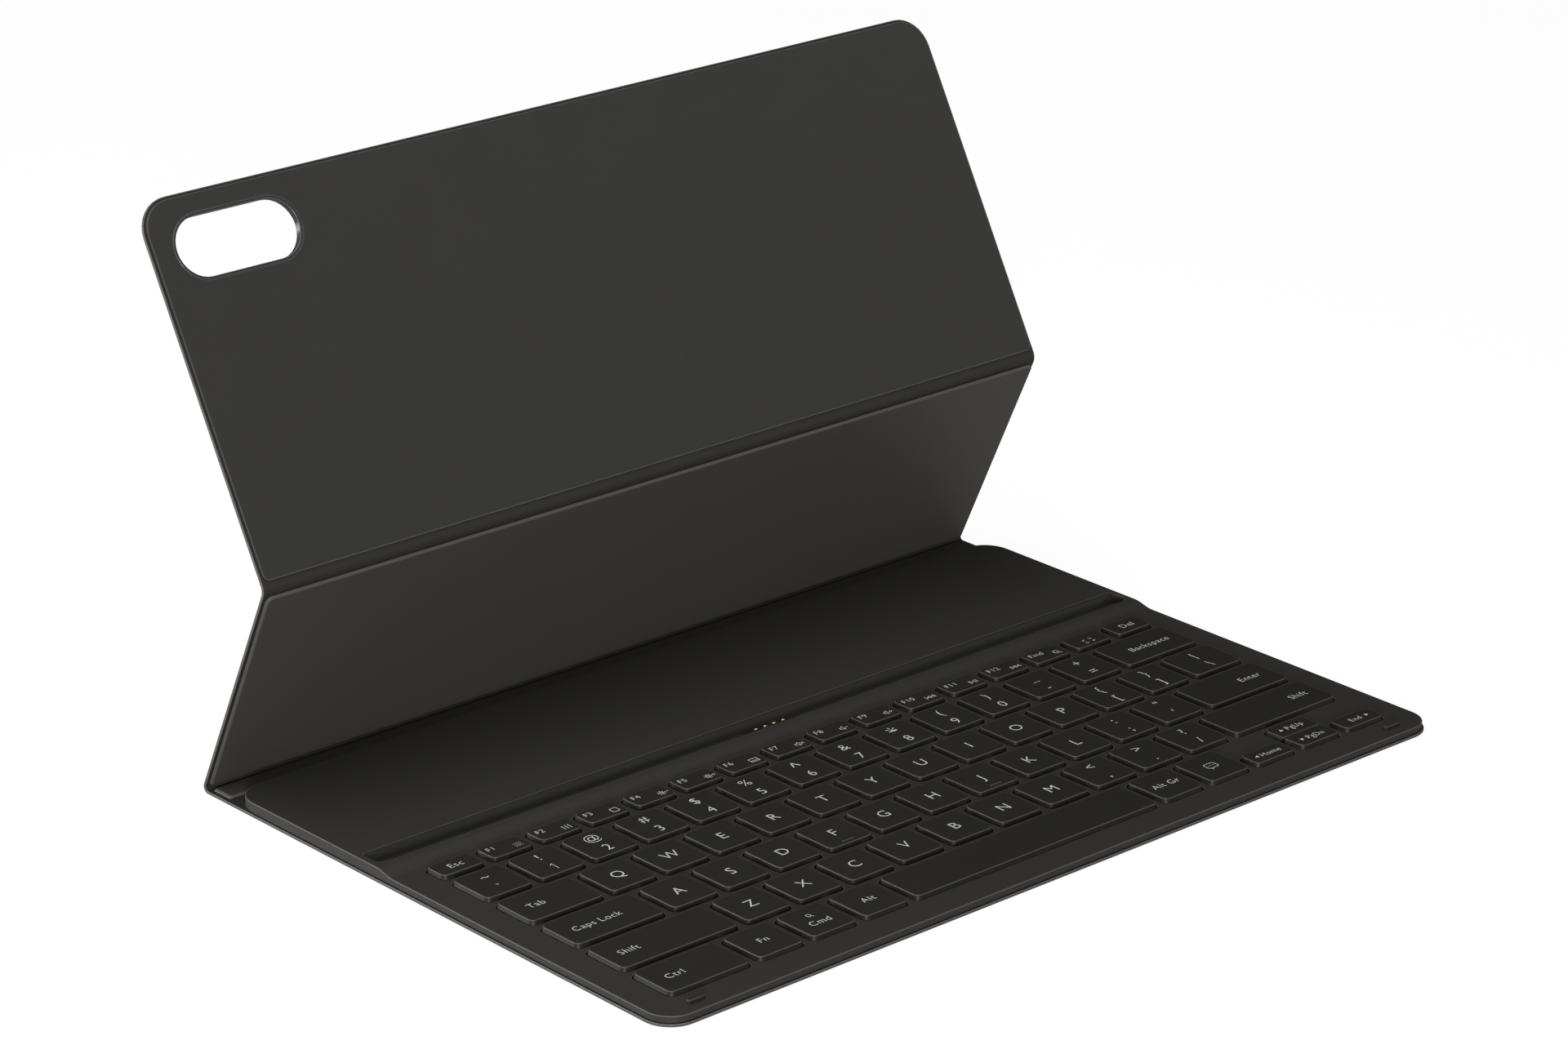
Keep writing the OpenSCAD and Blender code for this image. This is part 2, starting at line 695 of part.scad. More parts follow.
module homing_bar(k) {
    translate([k[0] + k[2] / 2, k[1] + homing_y, cap_z]) 
        cube([homing_l, homing_bar_w, 2 * homing_rise], center = true);
}

module key_escape() { key_caps([f_row[0]]); }
module keys_f1_to_f4() { key_caps(part_of(f_row, 1, 4)); }
module keys_f5_to_f8() { key_caps(part_of(f_row, 5, 8)); }
module keys_f9_to_f12() { key_caps(part_of(f_row, 9, 12)); }
module keys_screen_search() { key_caps(part_of(f_row, 13, 14)); }
module key_delete() { key_caps([f_row[15]]); }
module keys_digits_left() { key_caps(part_of(digit_row, 0, 5)); }
module keys_digits_right() { key_caps(part_of(digit_row, 6, 12)); }
module key_backspace() { key_caps([digit_row[13]]); }
module key_tab() { key_caps([q_row[0]]); }
module keys_q_to_t() { key_caps(part_of(q_row, 1, 5)); }
module keys_y_to_p() { key_caps(part_of(q_row, 6, 10)); }
module keys_brackets() { key_caps(part_of(q_row, 11, 13)); }
module key_caps_lock() { key_caps([a_row[0]]); }
module keys_a_to_g() { key_caps(part_of(a_row, 1, 5), a_row[4]); }
module keys_h_to_quote() { key_caps(part_of(a_row, 6, 11), a_row[7]); }
module key_enter() { key_caps([a_row[12]]); }
module key_left_shift() { key_caps([z_row[0]]); }
module keys_z_to_b() { key_caps(part_of(z_row, 1, 5)); }
module keys_n_to_slash() { key_caps(part_of(z_row, 6, 10)); }
module key_right_shift() { key_caps([z_row[11]]); }
module key_control() { key_caps([bottom_row[0]]); }
module key_function() { key_caps([bottom_row[1]]); }
module key_command() { key_caps([bottom_row[2]]); }
module key_alt() { key_caps([bottom_row[3]]); }
module key_space() { key_caps([bottom_row[4]]); }
module key_alt_right() { key_caps([bottom_row[5]]); }
module key_assistant() { key_caps([bottom_row[6]]); }
module key_left() { key_caps([arrow_left]); }
module key_up() { key_caps([arrow_up]); }
module key_down() { key_caps([arrow_down]); }
module key_right() { key_caps([arrow_right]); }

base_skin();
keyboard_deck();
support_plate();
key_membrane();
rubber_domes();
scissor_frames();
dock_insert();
contact_block();
contact_pins();
dock_magnets();
controller_board();
dock_flex();
front_bumpers();
spine_crease();
spine_skin();
spine_plate();
rear_crease();
lower_skin();
lower_board();
lower_lining();
fold_crease();
upper_skin();
upper_board();
upper_lining();
panel_magnets();
camera_rim();
pen_pocket();
key_escape();
keys_f1_to_f4();
keys_f5_to_f8();
keys_f9_to_f12();
keys_screen_search();
key_delete();
keys_digits_left();
keys_digits_right();
key_backspace();
key_tab();
keys_q_to_t();
keys_y_to_p();
keys_brackets();
key_caps_lock();
keys_a_to_g();
keys_h_to_quote();
key_enter();
key_left_shift();
keys_z_to_b();
keys_n_to_slash();
key_right_shift();
key_control();
key_function();
key_command();
key_alt();
key_space();
key_alt_right();
key_assistant();
key_left();
key_up();
key_down();
key_right();
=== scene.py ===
import json
import math

import bmesh
import bpy
from mathutils import Matrix, Vector
from mathutils.geometry import tessellate_polygon


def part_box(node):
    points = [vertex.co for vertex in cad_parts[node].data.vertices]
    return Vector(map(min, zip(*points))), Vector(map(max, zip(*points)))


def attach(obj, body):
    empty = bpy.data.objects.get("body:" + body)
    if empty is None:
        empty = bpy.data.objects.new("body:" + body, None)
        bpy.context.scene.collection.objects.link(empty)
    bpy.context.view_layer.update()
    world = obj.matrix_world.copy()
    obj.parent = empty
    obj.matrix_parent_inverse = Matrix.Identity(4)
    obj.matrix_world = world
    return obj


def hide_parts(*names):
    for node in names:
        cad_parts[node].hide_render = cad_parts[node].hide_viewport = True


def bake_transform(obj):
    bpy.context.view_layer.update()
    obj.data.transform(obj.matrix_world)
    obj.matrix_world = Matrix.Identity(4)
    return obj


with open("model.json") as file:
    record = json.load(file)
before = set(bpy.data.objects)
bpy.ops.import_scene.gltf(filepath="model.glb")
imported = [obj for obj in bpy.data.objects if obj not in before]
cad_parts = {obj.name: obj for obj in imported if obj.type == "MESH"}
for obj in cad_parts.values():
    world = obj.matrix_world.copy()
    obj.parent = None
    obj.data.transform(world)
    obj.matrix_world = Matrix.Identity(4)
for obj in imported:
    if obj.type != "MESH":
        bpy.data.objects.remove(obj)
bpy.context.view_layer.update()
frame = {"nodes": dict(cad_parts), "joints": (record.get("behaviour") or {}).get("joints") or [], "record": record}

mm = 0.001
jointPlaces = {joint["name"]: Vector(joint["pos_m"]) for joint in frame["joints"] if "pos_m" in joint}
mounts = {mount["name"]: mount for mount in frame["record"]["mounts"]}

# ---- Camera, lights and floor ----

view = {
    "place": (-0.874601, -0.955651, 0.571238),
    "turn": -41.9012,
    "tilt": 68.8783,
    "roll": 0.1787,
    "lens": 116.725,
}

studio = {
    "room": 0.30,           # strength of the plain room light
    "roomDark": 0.02,       # its strength at the darkest side of the room
    "darkSide": (0.853, 0.492, 0.174),
    "darkFrom": 0.35,       # how near to the dark side the light starts to fall, 1 being straight at it
    "roomColour": (1.0, 0.985, 0.965),
    "backdrop": (0.98, 0.98, 0.98),
    "paper": (0.42, 0.42, 0.42),
    "paperShare": 0.80,     # how far the floor goes to plain white for the camera
    "paperWhite": 1.16,
    "lamps": {              # name: place, aim, width, depth, power
        "overhead": ((-0.25, 0.10, 1.05), (0.0, 0.0, 0.0), 1.1, 0.9, 9.0),
        "rearLeft": ((-1.00, 0.85, 0.09), (0.0, 0.0, 0.02), 0.8, 0.14, 13.0),
        "front": ((-1.15, -1.28, 0.28), (0.0, 0.0, 0.03), 0.28, 0.32, 26.0),
        "frontRight": ((1.30, -0.90, 0.22), (0.0, 0.0, 0.03), 0.5, 0.35, 1.5),
    },
}


def turned(axis, degrees):
    return Matrix.Rotation(math.radians(degrees), 4, axis)


def addCamera():
    data = bpy.data.cameras.new("viewCamera")
    data.sensor_width = 36
    data.lens = view["lens"]
    data.clip_start = 0.05
    camera = bpy.data.objects.new("viewCamera", data)
    bpy.context.scene.collection.objects.link(camera)
    camera.matrix_world = (Matrix.Translation(view["place"]) @ turned("Z", view["turn"])
                           @ turned("X", view["tilt"]) @ turned("Z", view["roll"]))
    bpy.context.scene.camera = camera


def addLamp(name, place, aim, width, depth, power):
    data = bpy.data.lights.new(name, "AREA")
    data.shape = "RECTANGLE"
    data.size, data.size_y, data.energy = width, depth, power
    lamp = bpy.data.objects.new(name, data)
    bpy.context.scene.collection.objects.link(lamp)
    lamp.matrix_world = (Matrix.Translation(place)
                         @ (Vector(aim) - Vector(place)).to_track_quat("-Z", "Y").to_matrix().to_4x4())


def roomLight():
    world = bpy.data.worlds.new("room")
    bpy.context.scene.world = world
    world.use_nodes = True
    nodes, links = world.node_tree.nodes, world.node_tree.links
    nodes.clear()
    path = nodes.new("ShaderNodeLightPath")
    plain = nodes.new("ShaderNodeBackground")
    plain.inputs["Color"].default_value = (*studio["roomColour"], 1)
    coords = nodes.new("ShaderNodeTexCoord")
    near = nodes.new("ShaderNodeVectorMath")
    near.operation = "DOT_PRODUCT"
    near.inputs[1].default_value = studio["darkSide"]
    fall = nodes.new("ShaderNodeMapRange")
    fall.interpolation_type = "SMOOTHSTEP"
    fall.inputs["From Min"].default_value = studio["darkFrom"]
    fall.inputs["To Min"].default_value = studio["room"]
    fall.inputs["To Max"].default_value = studio["roomDark"]
    links.new(coords.outputs["Generated"], near.inputs[0])
    links.new(near.outputs["Value"], fall.inputs["Value"])
    links.new(fall.outputs["Result"], plain.inputs["Strength"])
    paper = nodes.new("ShaderNodeBackground")
    paper.inputs["Color"].default_value = (*studio["backdrop"], 1)
    mix = nodes.new("ShaderNodeMixShader")
    out = nodes.new("ShaderNodeOutputWorld")
    links.new(path.outputs["Is Camera Ray"], mix.inputs[0])
    links.new(plain.outputs[0], mix.inputs[1])
    links.new(paper.outputs[0], mix.inputs[2])
    links.new(mix.outputs[0], out.inputs["Surface"])


def addFloor(size=6.0):
    mesh = bpy.data.meshes.new("floor")
    half = size / 2
    corners = [(-half, -half, 0), (half, -half, 0), (half, half, 0), (-half, half, 0)]
    mesh.from_pydata([Vector(c) - Vector((0, 0, 0.02 * mm)) for c in corners], [], [(0, 1, 2, 3)])
    floor = bpy.data.objects.new("floor", mesh)
    bpy.context.scene.collection.objects.link(floor)
    material = bpy.data.materials.new("palePaper")
    material.use_nodes = True
    nodes, links = material.node_tree.nodes, material.node_tree.links
    shader = nodes["Principled BSDF"]
    shader.inputs["Base Color"].default_value = (*studio["paper"], 1)
    shader.inputs["Roughness"].default_value = 0.9
    path = nodes.new("ShaderNodeLightPath")
    share = nodes.new("ShaderNodeMath")
    share.operation = "MULTIPLY"
    share.inputs[1].default_value = studio["paperShare"]
    white = nodes.new("ShaderNodeEmission")
    white.inputs["Strength"].default_value = studio["paperWhite"]
    mix = nodes.new("ShaderNodeMixShader")
    links.new(path.outputs["Is Camera Ray"], share.inputs[0])
    links.new(share.outputs[0], mix.inputs[0])
    links.new(shader.outputs[0], mix.inputs[1])
    links.new(white.outputs[0], mix.inputs[2])
    links.new(mix.outputs[0], nodes["Material Output"].inputs["Surface"])
    mesh.materials.append(material)


# ---- Shared shader groups ----

def newGroup(name, numbers, outputs):
    group = bpy.data.node_groups.new(name, "ShaderNodeTree")
    for label, value in numbers.items():
        kind = "NodeSocketFloat" if isinstance(value, (int, float)) else "NodeSocketColor"
        group.interface.new_socket(label, in_out="INPUT", socket_type=kind).default_value = value
    for label, kind in outputs.items():
        group.interface.new_socket(label, in_out="OUTPUT", socket_type=kind)
    return group, group.nodes.new("NodeGroupInput"), group.nodes.new("NodeGroupOutput")


def moulding():
    # fine spark texture of a moulded surface: bumps of two sizes
    group, given, out = newGroup("mouldingGrain", {"Size": 0.3, "Coarse Share": 0.35},
                                 {"Height": "NodeSocketFloat"})
    nodes, links = group.nodes, group.links
    place = nodes.new("ShaderNodeTexCoord")
    frequency = nodes.new("ShaderNodeMath")
    frequency.operation = "DIVIDE"
    frequency.inputs[0].default_value = 1000
    links.new(given.outputs["Size"], frequency.inputs[1])
    fine = nodes.new("ShaderNodeTexNoise")
    fine.inputs["Detail"].default_value = 3
    links.new(place.outputs["Object"], fine.inputs["Vector"])
    links.new(frequency.outputs[0], fine.inputs["Scale"])
    coarse = nodes.new("ShaderNodeTexVoronoi")
    coarse.feature = "SMOOTH_F1"
    links.new(place.outputs["Object"], coarse.inputs["Vector"])
    links.new(frequency.outputs[0], coarse.inputs["Scale"])
    mix = nodes.new("ShaderNodeMix")
    links.new(given.outputs["Coarse Share"], mix.inputs["Factor"])
    links.new(fine.outputs["Fac"], mix.inputs["A"])
    links.new(coarse.outputs["Distance"], mix.inputs["B"])
    links.new(mix.outputs["Result"], out.inputs["Height"])
    return group


def hideGrain():
    # shallow pebbles of a coated cover skin, with fine pores between them
    group, given, out = newGroup("hideGrain", {"Pebble Size": 0.6, "Pore Share": 0.3},
                                 {"Height": "NodeSocketFloat"})
    nodes, links = group.nodes, group.links
    place = nodes.new("ShaderNodeTexCoord")
    frequency = nodes.new("ShaderNodeMath")
    frequency.operation = "DIVIDE"
    frequency.inputs[0].default_value = 1000
    links.new(given.outputs["Pebble Size"], frequency.inputs[1])
    pebbles = nodes.new("ShaderNodeTexVoronoi")
    pebbles.feature = "DISTANCE_TO_EDGE"
    links.new(place.outputs["Object"], pebbles.inputs["Vector"])
    links.new(frequency.outputs[0], pebbles.inputs["Scale"])
    soften = nodes.new("ShaderNodeMapRange")
    soften.interpolation_type = "SMOOTHSTEP"
    soften.inputs["From Max"].default_value = 0.22
    links.new(pebbles.outputs["Distance"], soften.inputs["Value"])
    pores = nodes.new("ShaderNodeTexNoise")
    pores.inputs["Detail"].default_value = 4
    poreScale = nodes.new("ShaderNodeMath")
    poreScale.operation = "MULTIPLY"
    poreScale.inputs[1].default_value = 3.1
    links.new(frequency.outputs[0], poreScale.inputs[0])
    links.new(poreScale.outputs[0], pores.inputs["Scale"])
    links.new(place.outputs["Object"], pores.inputs["Vector"])
    mix = nodes.new("ShaderNodeMix")
    links.new(given.outputs["Pore Share"], mix.inputs["Factor"])
    links.new(soften.outputs["Result"], mix.inputs["A"])
    links.new(pores.outputs["Fac"], mix.inputs["B"])
    links.new(mix.outputs["Result"], out.inputs["Height"])
    return group


def wearAndHighlight():
    # slow change of tone and gloss where a surface is touched, and paler edges: a painted highlight along rounded
    # edges, partly also rubbed wear
    group, given, out = newGroup(
        "wearAndHighlight",
        {"Colour": (0.03, 0.03, 0.03, 1), "Highlight And Wear Colour": (0.1, 0.1, 0.1, 1), "Tone Change": 0.06,
         "Roughness": 0.5, "Gloss Change": 0.06, "Patch Size": 45.0},
        {"Colour": "NodeSocketColor", "Roughness": "NodeSocketFloat"})
    nodes, links = group.nodes, group.links
    place = nodes.new("ShaderNodeTexCoord")
    frequency = nodes.new("ShaderNodeMath")
    frequency.operation = "DIVIDE"
    frequency.inputs[0].default_value = 1000
    links.new(given.outputs["Patch Size"], frequency.inputs[1])
    patches = nodes.new("ShaderNodeTexNoise")
    patches.inputs["Detail"].default_value = 5
    patches.inputs["Roughness"].default_value = 0.55
    links.new(place.outputs["Object"], patches.inputs["Vector"])
    links.new(frequency.outputs[0], patches.inputs["Scale"])
    centred = nodes.new("ShaderNodeMath")
    centred.operation = "SUBTRACT"
    centred.inputs[1].default_value = 0.5
    links.new(patches.outputs["Fac"], centred.inputs[0])
    tone = nodes.new("ShaderNodeMath")
    tone.operation = "MULTIPLY_ADD"
    tone.inputs[2].default_value = 1.0
    links.new(centred.outputs[0], tone.inputs[0])
    links.new(given.outputs["Tone Change"], tone.inputs[1])
    toned = nodes.new("ShaderNodeVectorMath")
    toned.operation = "SCALE"
    links.new(given.outputs["Colour"], toned.inputs[0])
    links.new(tone.outputs[0], toned.inputs["Scale"])
    # edges marked in the mesh take a paler colour: painted highlight, partly rubbed wear
    edge = nodes.new("ShaderNodeAttribute")
    edge.attribute_name = "edge"
    highlightAndWearMix = nodes.new("ShaderNodeMix")
    highlightAndWearMix.data_type = "RGBA"
    links.new(edge.outputs["Fac"], highlightAndWearMix.inputs["Factor"])
    links.new(toned.outputs[0], highlightAndWearMix.inputs["A"])
    links.new(given.outputs["Highlight And Wear Colour"], highlightAndWearMix.inputs["B"])
    gloss = nodes.new("ShaderNodeMath")
    gloss.operation = "MULTIPLY_ADD"
    links.new(centred.outputs[0], gloss.inputs[0])
    links.new(given.outputs["Gloss Change"], gloss.inputs[1])
    links.new(given.outputs["Roughness"], gloss.inputs[2])
    links.new(highlightAndWearMix.outputs["Result"], out.inputs["Colour"])
    links.new(gloss.outputs[0], out.inputs["Roughness"])
    return group


groups = {"moulding": moulding(), "hide": hideGrain(), "wearAndHighlight": wearAndHighlight()}


def finish(name, colour, highlightAndWearColour, roughness, relief, reliefGroup="moulding", size=0.3, share=0.35,
           toneChange=0.06, glossChange=0.06, patchSize=45.0, metallic=0.0, gloss=0.35, sheen=0.0):
    # one surface: the tone group gives colour, with a painted highlight on marked edges, and roughness; a grain
    # group gives the bump
    material = bpy.data.materials.new(name)
    material.use_nodes = True
    nodes, links = material.node_tree.nodes, material.node_tree.links
    shader = nodes["Principled BSDF"]
    wearAndHighlightNode = nodes.new("ShaderNodeGroup")
    wearAndHighlightNode.node_tree = groups["wearAndHighlight"]
    wearAndHighlightNode.inputs["Colour"].default_value = (*colour, 1)
    wearAndHighlightNode.inputs["Highlight And Wear Colour"].default_value = (*highlightAndWearColour, 1)
    wearAndHighlightNode.inputs["Tone Change"].default_value = toneChange
    wearAndHighlightNode.inputs["Roughness"].default_value = roughness
    wearAndHighlightNode.inputs["Gloss Change"].default_value = glossChange
    wearAndHighlightNode.inputs["Patch Size"].default_value = patchSize
    grain = nodes.new("ShaderNodeGroup")
    grain.node_tree = groups[reliefGroup]
    grain.inputs[0].default_value = size
    grain.inputs[1].default_value = share
    bump = nodes.new("ShaderNodeBump")
    bump.inputs["Strength"].default_value = 1.0
    bump.inputs["Distance"].default_value = relief * mm
    links.new(wearAndHighlightNode.outputs["Colour"], shader.inputs["Base Color"])
    links.new(wearAndHighlightNode.outputs["Roughness"], shader.inputs["Roughness"])
    links.new(grain.outputs["Height"], bump.inputs["Height"])
    links.new(bump.outputs["Normal"], shader.inputs["Normal"])
    shader.inputs["Metallic"].default_value = metallic
    shader.inputs["Specular IOR Level"].default_value = gloss
    shader.inputs["Sheen Weight"].default_value = sheen
    return material


# each finish's second colour is the painted highlight on its marked edges, partly rubbed wear
finishes = {
    "coverSkin": finish("coverSkin", (0.0200, 0.0193, 0.0180), (0.09, 0.088, 0.083), 0.55, 0.012,
                        "hide", 0.45, 0.35, gloss=0.25),
    "deckPlastic": finish("deckPlastic", (0.0230, 0.0222, 0.0203), (0.065, 0.063, 0.059), 0.50, 0.005,
                          size=0.16, gloss=0.25),
    "keyPlastic": finish("keyPlastic", (0.0140, 0.0135, 0.0122), (0.058, 0.056, 0.052), 0.45, 0.004,
                         size=0.14, toneChange=0.08, gloss=0.22),
    "dockPlastic": finish("dockPlastic", (0.0140, 0.0136, 0.0124), (0.05, 0.047, 0.042), 0.5, 0.005,
                          size=0.16, gloss=0.25),
    "liningPlastic": finish("liningPlastic", (0.0400, 0.0385, 0.0352), (0.075, 0.073, 0.068), 0.5, 0.007,
                            size=0.22, gloss=0.40),
    "softLining": finish("softLining", (0.0150, 0.0146, 0.0135), (0.04, 0.039, 0.036), 0.85, 0.03,
                         size=0.25, share=0.15, toneChange=0.22, patchSize=18.0, gloss=0.2, sheen=0.25),
    "rimPlastic": finish("rimPlastic", (0.0120, 0.0120, 0.0120), (0.05, 0.05, 0.05), 0.3, 0.002, gloss=0.5),
    "bumperRubber": finish("bumperRubber", (0.0130, 0.0126, 0.0116), (0.035, 0.034, 0.031), 0.6, 0.006, gloss=0.15),
    "contactPlastic": finish("contactPlastic", (0.0080, 0.0080, 0.0080), (0.02, 0.02, 0.02), 0.35, 0.002),
    "goldPins": finish("goldPins", (0.75, 0.53, 0.22), (0.8, 0.6, 0.3), 0.22, 0.001, metallic=1.0,
                       gloss=0.5),
    "plateSteel": finish("plateSteel", (0.42, 0.42, 0.43), (0.5, 0.5, 0.5), 0.4, 0.002, metallic=1.0,
                         gloss=0.5),
    "switchFilm": finish("switchFilm", (0.0120, 0.0120, 0.0120), (0.02, 0.02, 0.02), 0.4, 0.002),
    "domeRubber": finish("domeRubber", (0.10, 0.10, 0.098), (0.12, 0.12, 0.12), 0.45, 0.003),
    "scissorPlastic": finish("scissorPlastic", (0.03, 0.03, 0.03), (0.06, 0.06, 0.06), 0.45, 0.003),
    "nickel": finish("nickel", (0.45, 0.44, 0.42), (0.5, 0.5, 0.5), 0.3, 0.002, metallic=1.0, gloss=0.5),
    "laminate": finish("laminate", (0.02, 0.10, 0.04), (0.03, 0.15, 0.06), 0.4, 0.004, size=0.5),
    "stiffener": finish("stiffener", (0.006, 0.006, 0.006), (0.01, 0.01, 0.01), 0.7, 0.01, size=0.4),
    "legendInk": finish("legendInk", (0.50, 0.50, 0.49), (0.5, 0.5, 0.49), 0.6, 0.002, size=0.1,
                        toneChange=0.1, patchSize=0.6),
}


# ---- Plates with rounded outlines and holes ----

plateSteps = {"arc": 8, "edge": 3, "ease": 0.25, "support": 0.12}


def outline(rect, radii, inset=0.0, ease=None):
    # rounded rectangle in metres, anticlockwise from its front left corner
    steps, ease = plateSteps["arc"], (plateSteps["ease"] if ease is None else ease) * mm
    x0, y0, x1, y1 = rect[0] + inset, rect[1] + inset, rect[2] - inset, rect[3] - inset
    corners = ((x0, y0, 1, 1), (x1, y0, -1, 1), (x1, y1, -1, -1), (x0, y1, 1, -1))
    points = []
    for (x, y, intoX, intoY), radius, start in zip(corners, radii, (180, 270, 0, 90)):
        r = max(radius - inset, 0.02 * mm)
        angles = [math.radians(start + 90 * i / steps) for i in range(steps + 1)]
        arc = [Vector((x + intoX * r + r * math.cos(a), y + intoY * r + r * math.sin(a))) for a in angles]
        if ease:
            first, last = angles[0], angles[-1]
            arc.insert(0, arc[0] - ease * Vector((-math.sin(first), math.cos(first))))
            arc.append(arc[-1] + ease * Vector((-math.sin(last), math.cos(last))))
        points += arc
    return points


def wall(low, high, edge, foot=0.0, slope=0.0):
    # (inset, height, painted highlight mask) up a wall whose top edge, and foot if wanted, are rounded; the rounded
    # parts carry the painted highlight
    steps, support = plateSteps["edge"], plateSteps["support"] * mm
    turn = [math.pi / 2 * i / steps for i in range(steps + 1)]
    pairs = [(0.0, low, 0.0)]
    if foot:
        pairs = [(foot + support, low, 0.0)]
        pairs += [(foot * (1 - math.sin(a)), low + foot * (1 - math.cos(a)), 1.0) for a in turn]
        pairs += [(0.0, low + foot + support / 2, 0.0)]
    pairs += [(slope, high - edge - support / 2, 0.0)]
    pairs += [(slope + edge * (1 - math.cos(a)), high - edge * (1 - math.sin(a)), 1.0) for a in turn]
    return pairs + [(slope + edge + support, high, 0.0)]


def plate(border, holes=()):
    # border and holes are (rect, radii, wall, ease); the walls share their lowest and highest heights
    bm = bmesh.new()
    # each vertex carries its wall's painted highlight mask
    highlightAndWearMask = bm.verts.layers.float.new("edge")
    floors, tops = [], []
    for number, (rect, radii, profile, ease) in enumerate([border, *holes]):
        sign = -1 if number else 1
        rings = []
        for inset, z, value in profile:
            points = outline(rect, radii, sign * inset, ease)
            ring = [bm.verts.new((p.x, p.y, z)) for p in points[::sign]]
            for vert in ring:
                vert[highlightAndWearMask] = value
            rings.append(ring)
        for low, high in zip(rings, rings[1:]):
            for a, b, c, d in zip(low, low[1:] + low[:1], high[1:] + high[:1], high):
                bm.faces.new((a, b, c, d))
        floors.append(rings[0])
        tops.append(rings[-1])
    for loops, facing in ((floors, -1), (tops, 1)):
        verts = [vert for ring in loops for vert in ring]
        for triangle in tessellate_polygon([[vert.co for vert in ring] for ring in loops]):
            a, b, c = (verts[i] for i in triangle)
            up = (b.co - a.co).cross(c.co - a.co).z
            if abs(up) > 1e-14:
                bm.faces.new((a, b, c) if up * facing > 0 else (a, c, b))
    return bm


def cutAcross(bm, places, normal=(0, 1, 0)):
    for y in places:
        bmesh.ops.bisect_plane(bm, geom=bm.verts[:] + bm.edges[:] + bm.faces[:], dist=1e-7,
                               plane_co=(0, y, 0), plane_no=normal)


def keepPiece(name, bm, material, nodes=(), matrix=None, smooth=38.0):
    # bm becomes a piece whose place is in its mesh
    mesh = bpy.data.meshes.new(name)
    bm.to_mesh(mesh)
    bm.free()
    if matrix is not None:
        mesh.transform(matrix)
    mesh.polygons.foreach_set("use_smooth", [True] * len(mesh.polygons))
    mesh.set_sharp_from_angle(angle=math.radians(smooth))
    mesh.materials.append(material)
    piece = bpy.data.objects.new(name, mesh)
    bpy.context.scene.collection.objects.link(piece)
    if nodes:
        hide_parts(*nodes)
    return piece


# ---- Keys: where they are ----

keyForm = {
    "draft": 0.2,           # how far the foot of the plain solid stands out, in mm
    "foot": 0.14,           # how far the foot of a cap stands out
    "slope": 0.20,          # how far its top is drawn in
    "facingRadius": 0.6,    # corners of the two half keys where they face each other
    "facingReach": 0.2,     # how far those two reach towards each other
    "cornerRadius": 1.8,
    "edge": 0.16,           # rounding round the top of a cap
    "skirt": 1.3,           # height of the sloping part of its wall
    "bodySuffix": "_body",
}

# legends of each node's keys, left to right; a pair is (lower sign, upper sign)
keyLegends = {
    "key_escape": ["Esc"],
    "keys_f1_to_f4": [("F1", "grid"), ("F2", "bars"), ("F3", "home"), ("F4", "sunLess")],
    "keys_f5_to_f8": [("F5", "sunMore"), ("F6", "touchpad"), ("F7", "soundOff"), ("F8", "soundLess")],
    "keys_f9_to_f12": [("F9", "soundMore"), ("F10", "back"), ("F11", "play"), ("F12", "next")],
    "keys_screen_search": [("Find", "lens"), ("", "screen")],
    "key_delete": ["Del"],
    "keys_digits_left": [("`", "~"), ("1", "!"), ("2", "@"), ("3", "#"), ("4", "$"), ("5", "%")],
    "keys_digits_right": [("6", "^"), ("7", "&"), ("8", "*"), ("9", "("), ("0", ")"), ("-", "_"), ("=", "+")],
    "key_backspace": ["Backspace"],
    "key_tab": ["Tab"],
    "keys_q_to_t": list("QWERT"),
    "keys_y_to_p": list("YUIOP"),
    "keys_brackets": [("[", "{"), ("]", "}"), ("\\", "|")],
    "key_caps_lock": ["Caps Lock"],
    "keys_a_to_g": list("ASDFG"),
    "keys_h_to_quote": [*"HJKL", (";", ":"), ("'", "\"")],
    "key_enter": ["Enter"],
    "key_left_shift": ["Shift"],
    "keys_z_to_b": list("ZXCVB"),
    "keys_n_to_slash": [*"NM", (",", "<"), (".", ">"), ("/", "?")],
    "key_right_shift": ["Shift"],
    "key_control": ["Ctrl"],
    "key_function": ["Fn"],
    "key_command": ["Cmd"],
    "key_alt": ["Alt"],
    "key_space": [""],
    "key_alt_right": ["Alt Gr"],
    "key_assistant": ["bubble"],
    "key_left": ["Home"],
    "key_up": ["PgUp"],
    "key_down": ["PgDn"],
    "key_right": ["End"],
}


def capRect(node):
    # top of a node's block of keys: the box less the slope of the walls
    low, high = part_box(node)
    draft = keyForm["draft"] * mm
    return low.x + draft, low.y + draft, high.x - draft, high.y - draft


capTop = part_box("key_space")[1].z
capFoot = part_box("key_space")[0].z
keyGap = capRect("key_command")[0] - capRect("key_function")[2]


def keyRects(node):
    x0, y0, x1, y1 = capRect(node)
    count = len(keyLegends[node])
    sample = capRect("key_escape" if node.startswith("keys_f") or node == "keys_screen_search" else "key_alt")
    width = sample[2] - sample[0] if count > 1 else x1 - x0
    starts = [x0 + i * (width + keyGap) for i in range(count)]
    return [(x, y0, x + width if i < count - 1 else x1, y1) for i, x in enumerate(starts)]


# ---- Deck ----

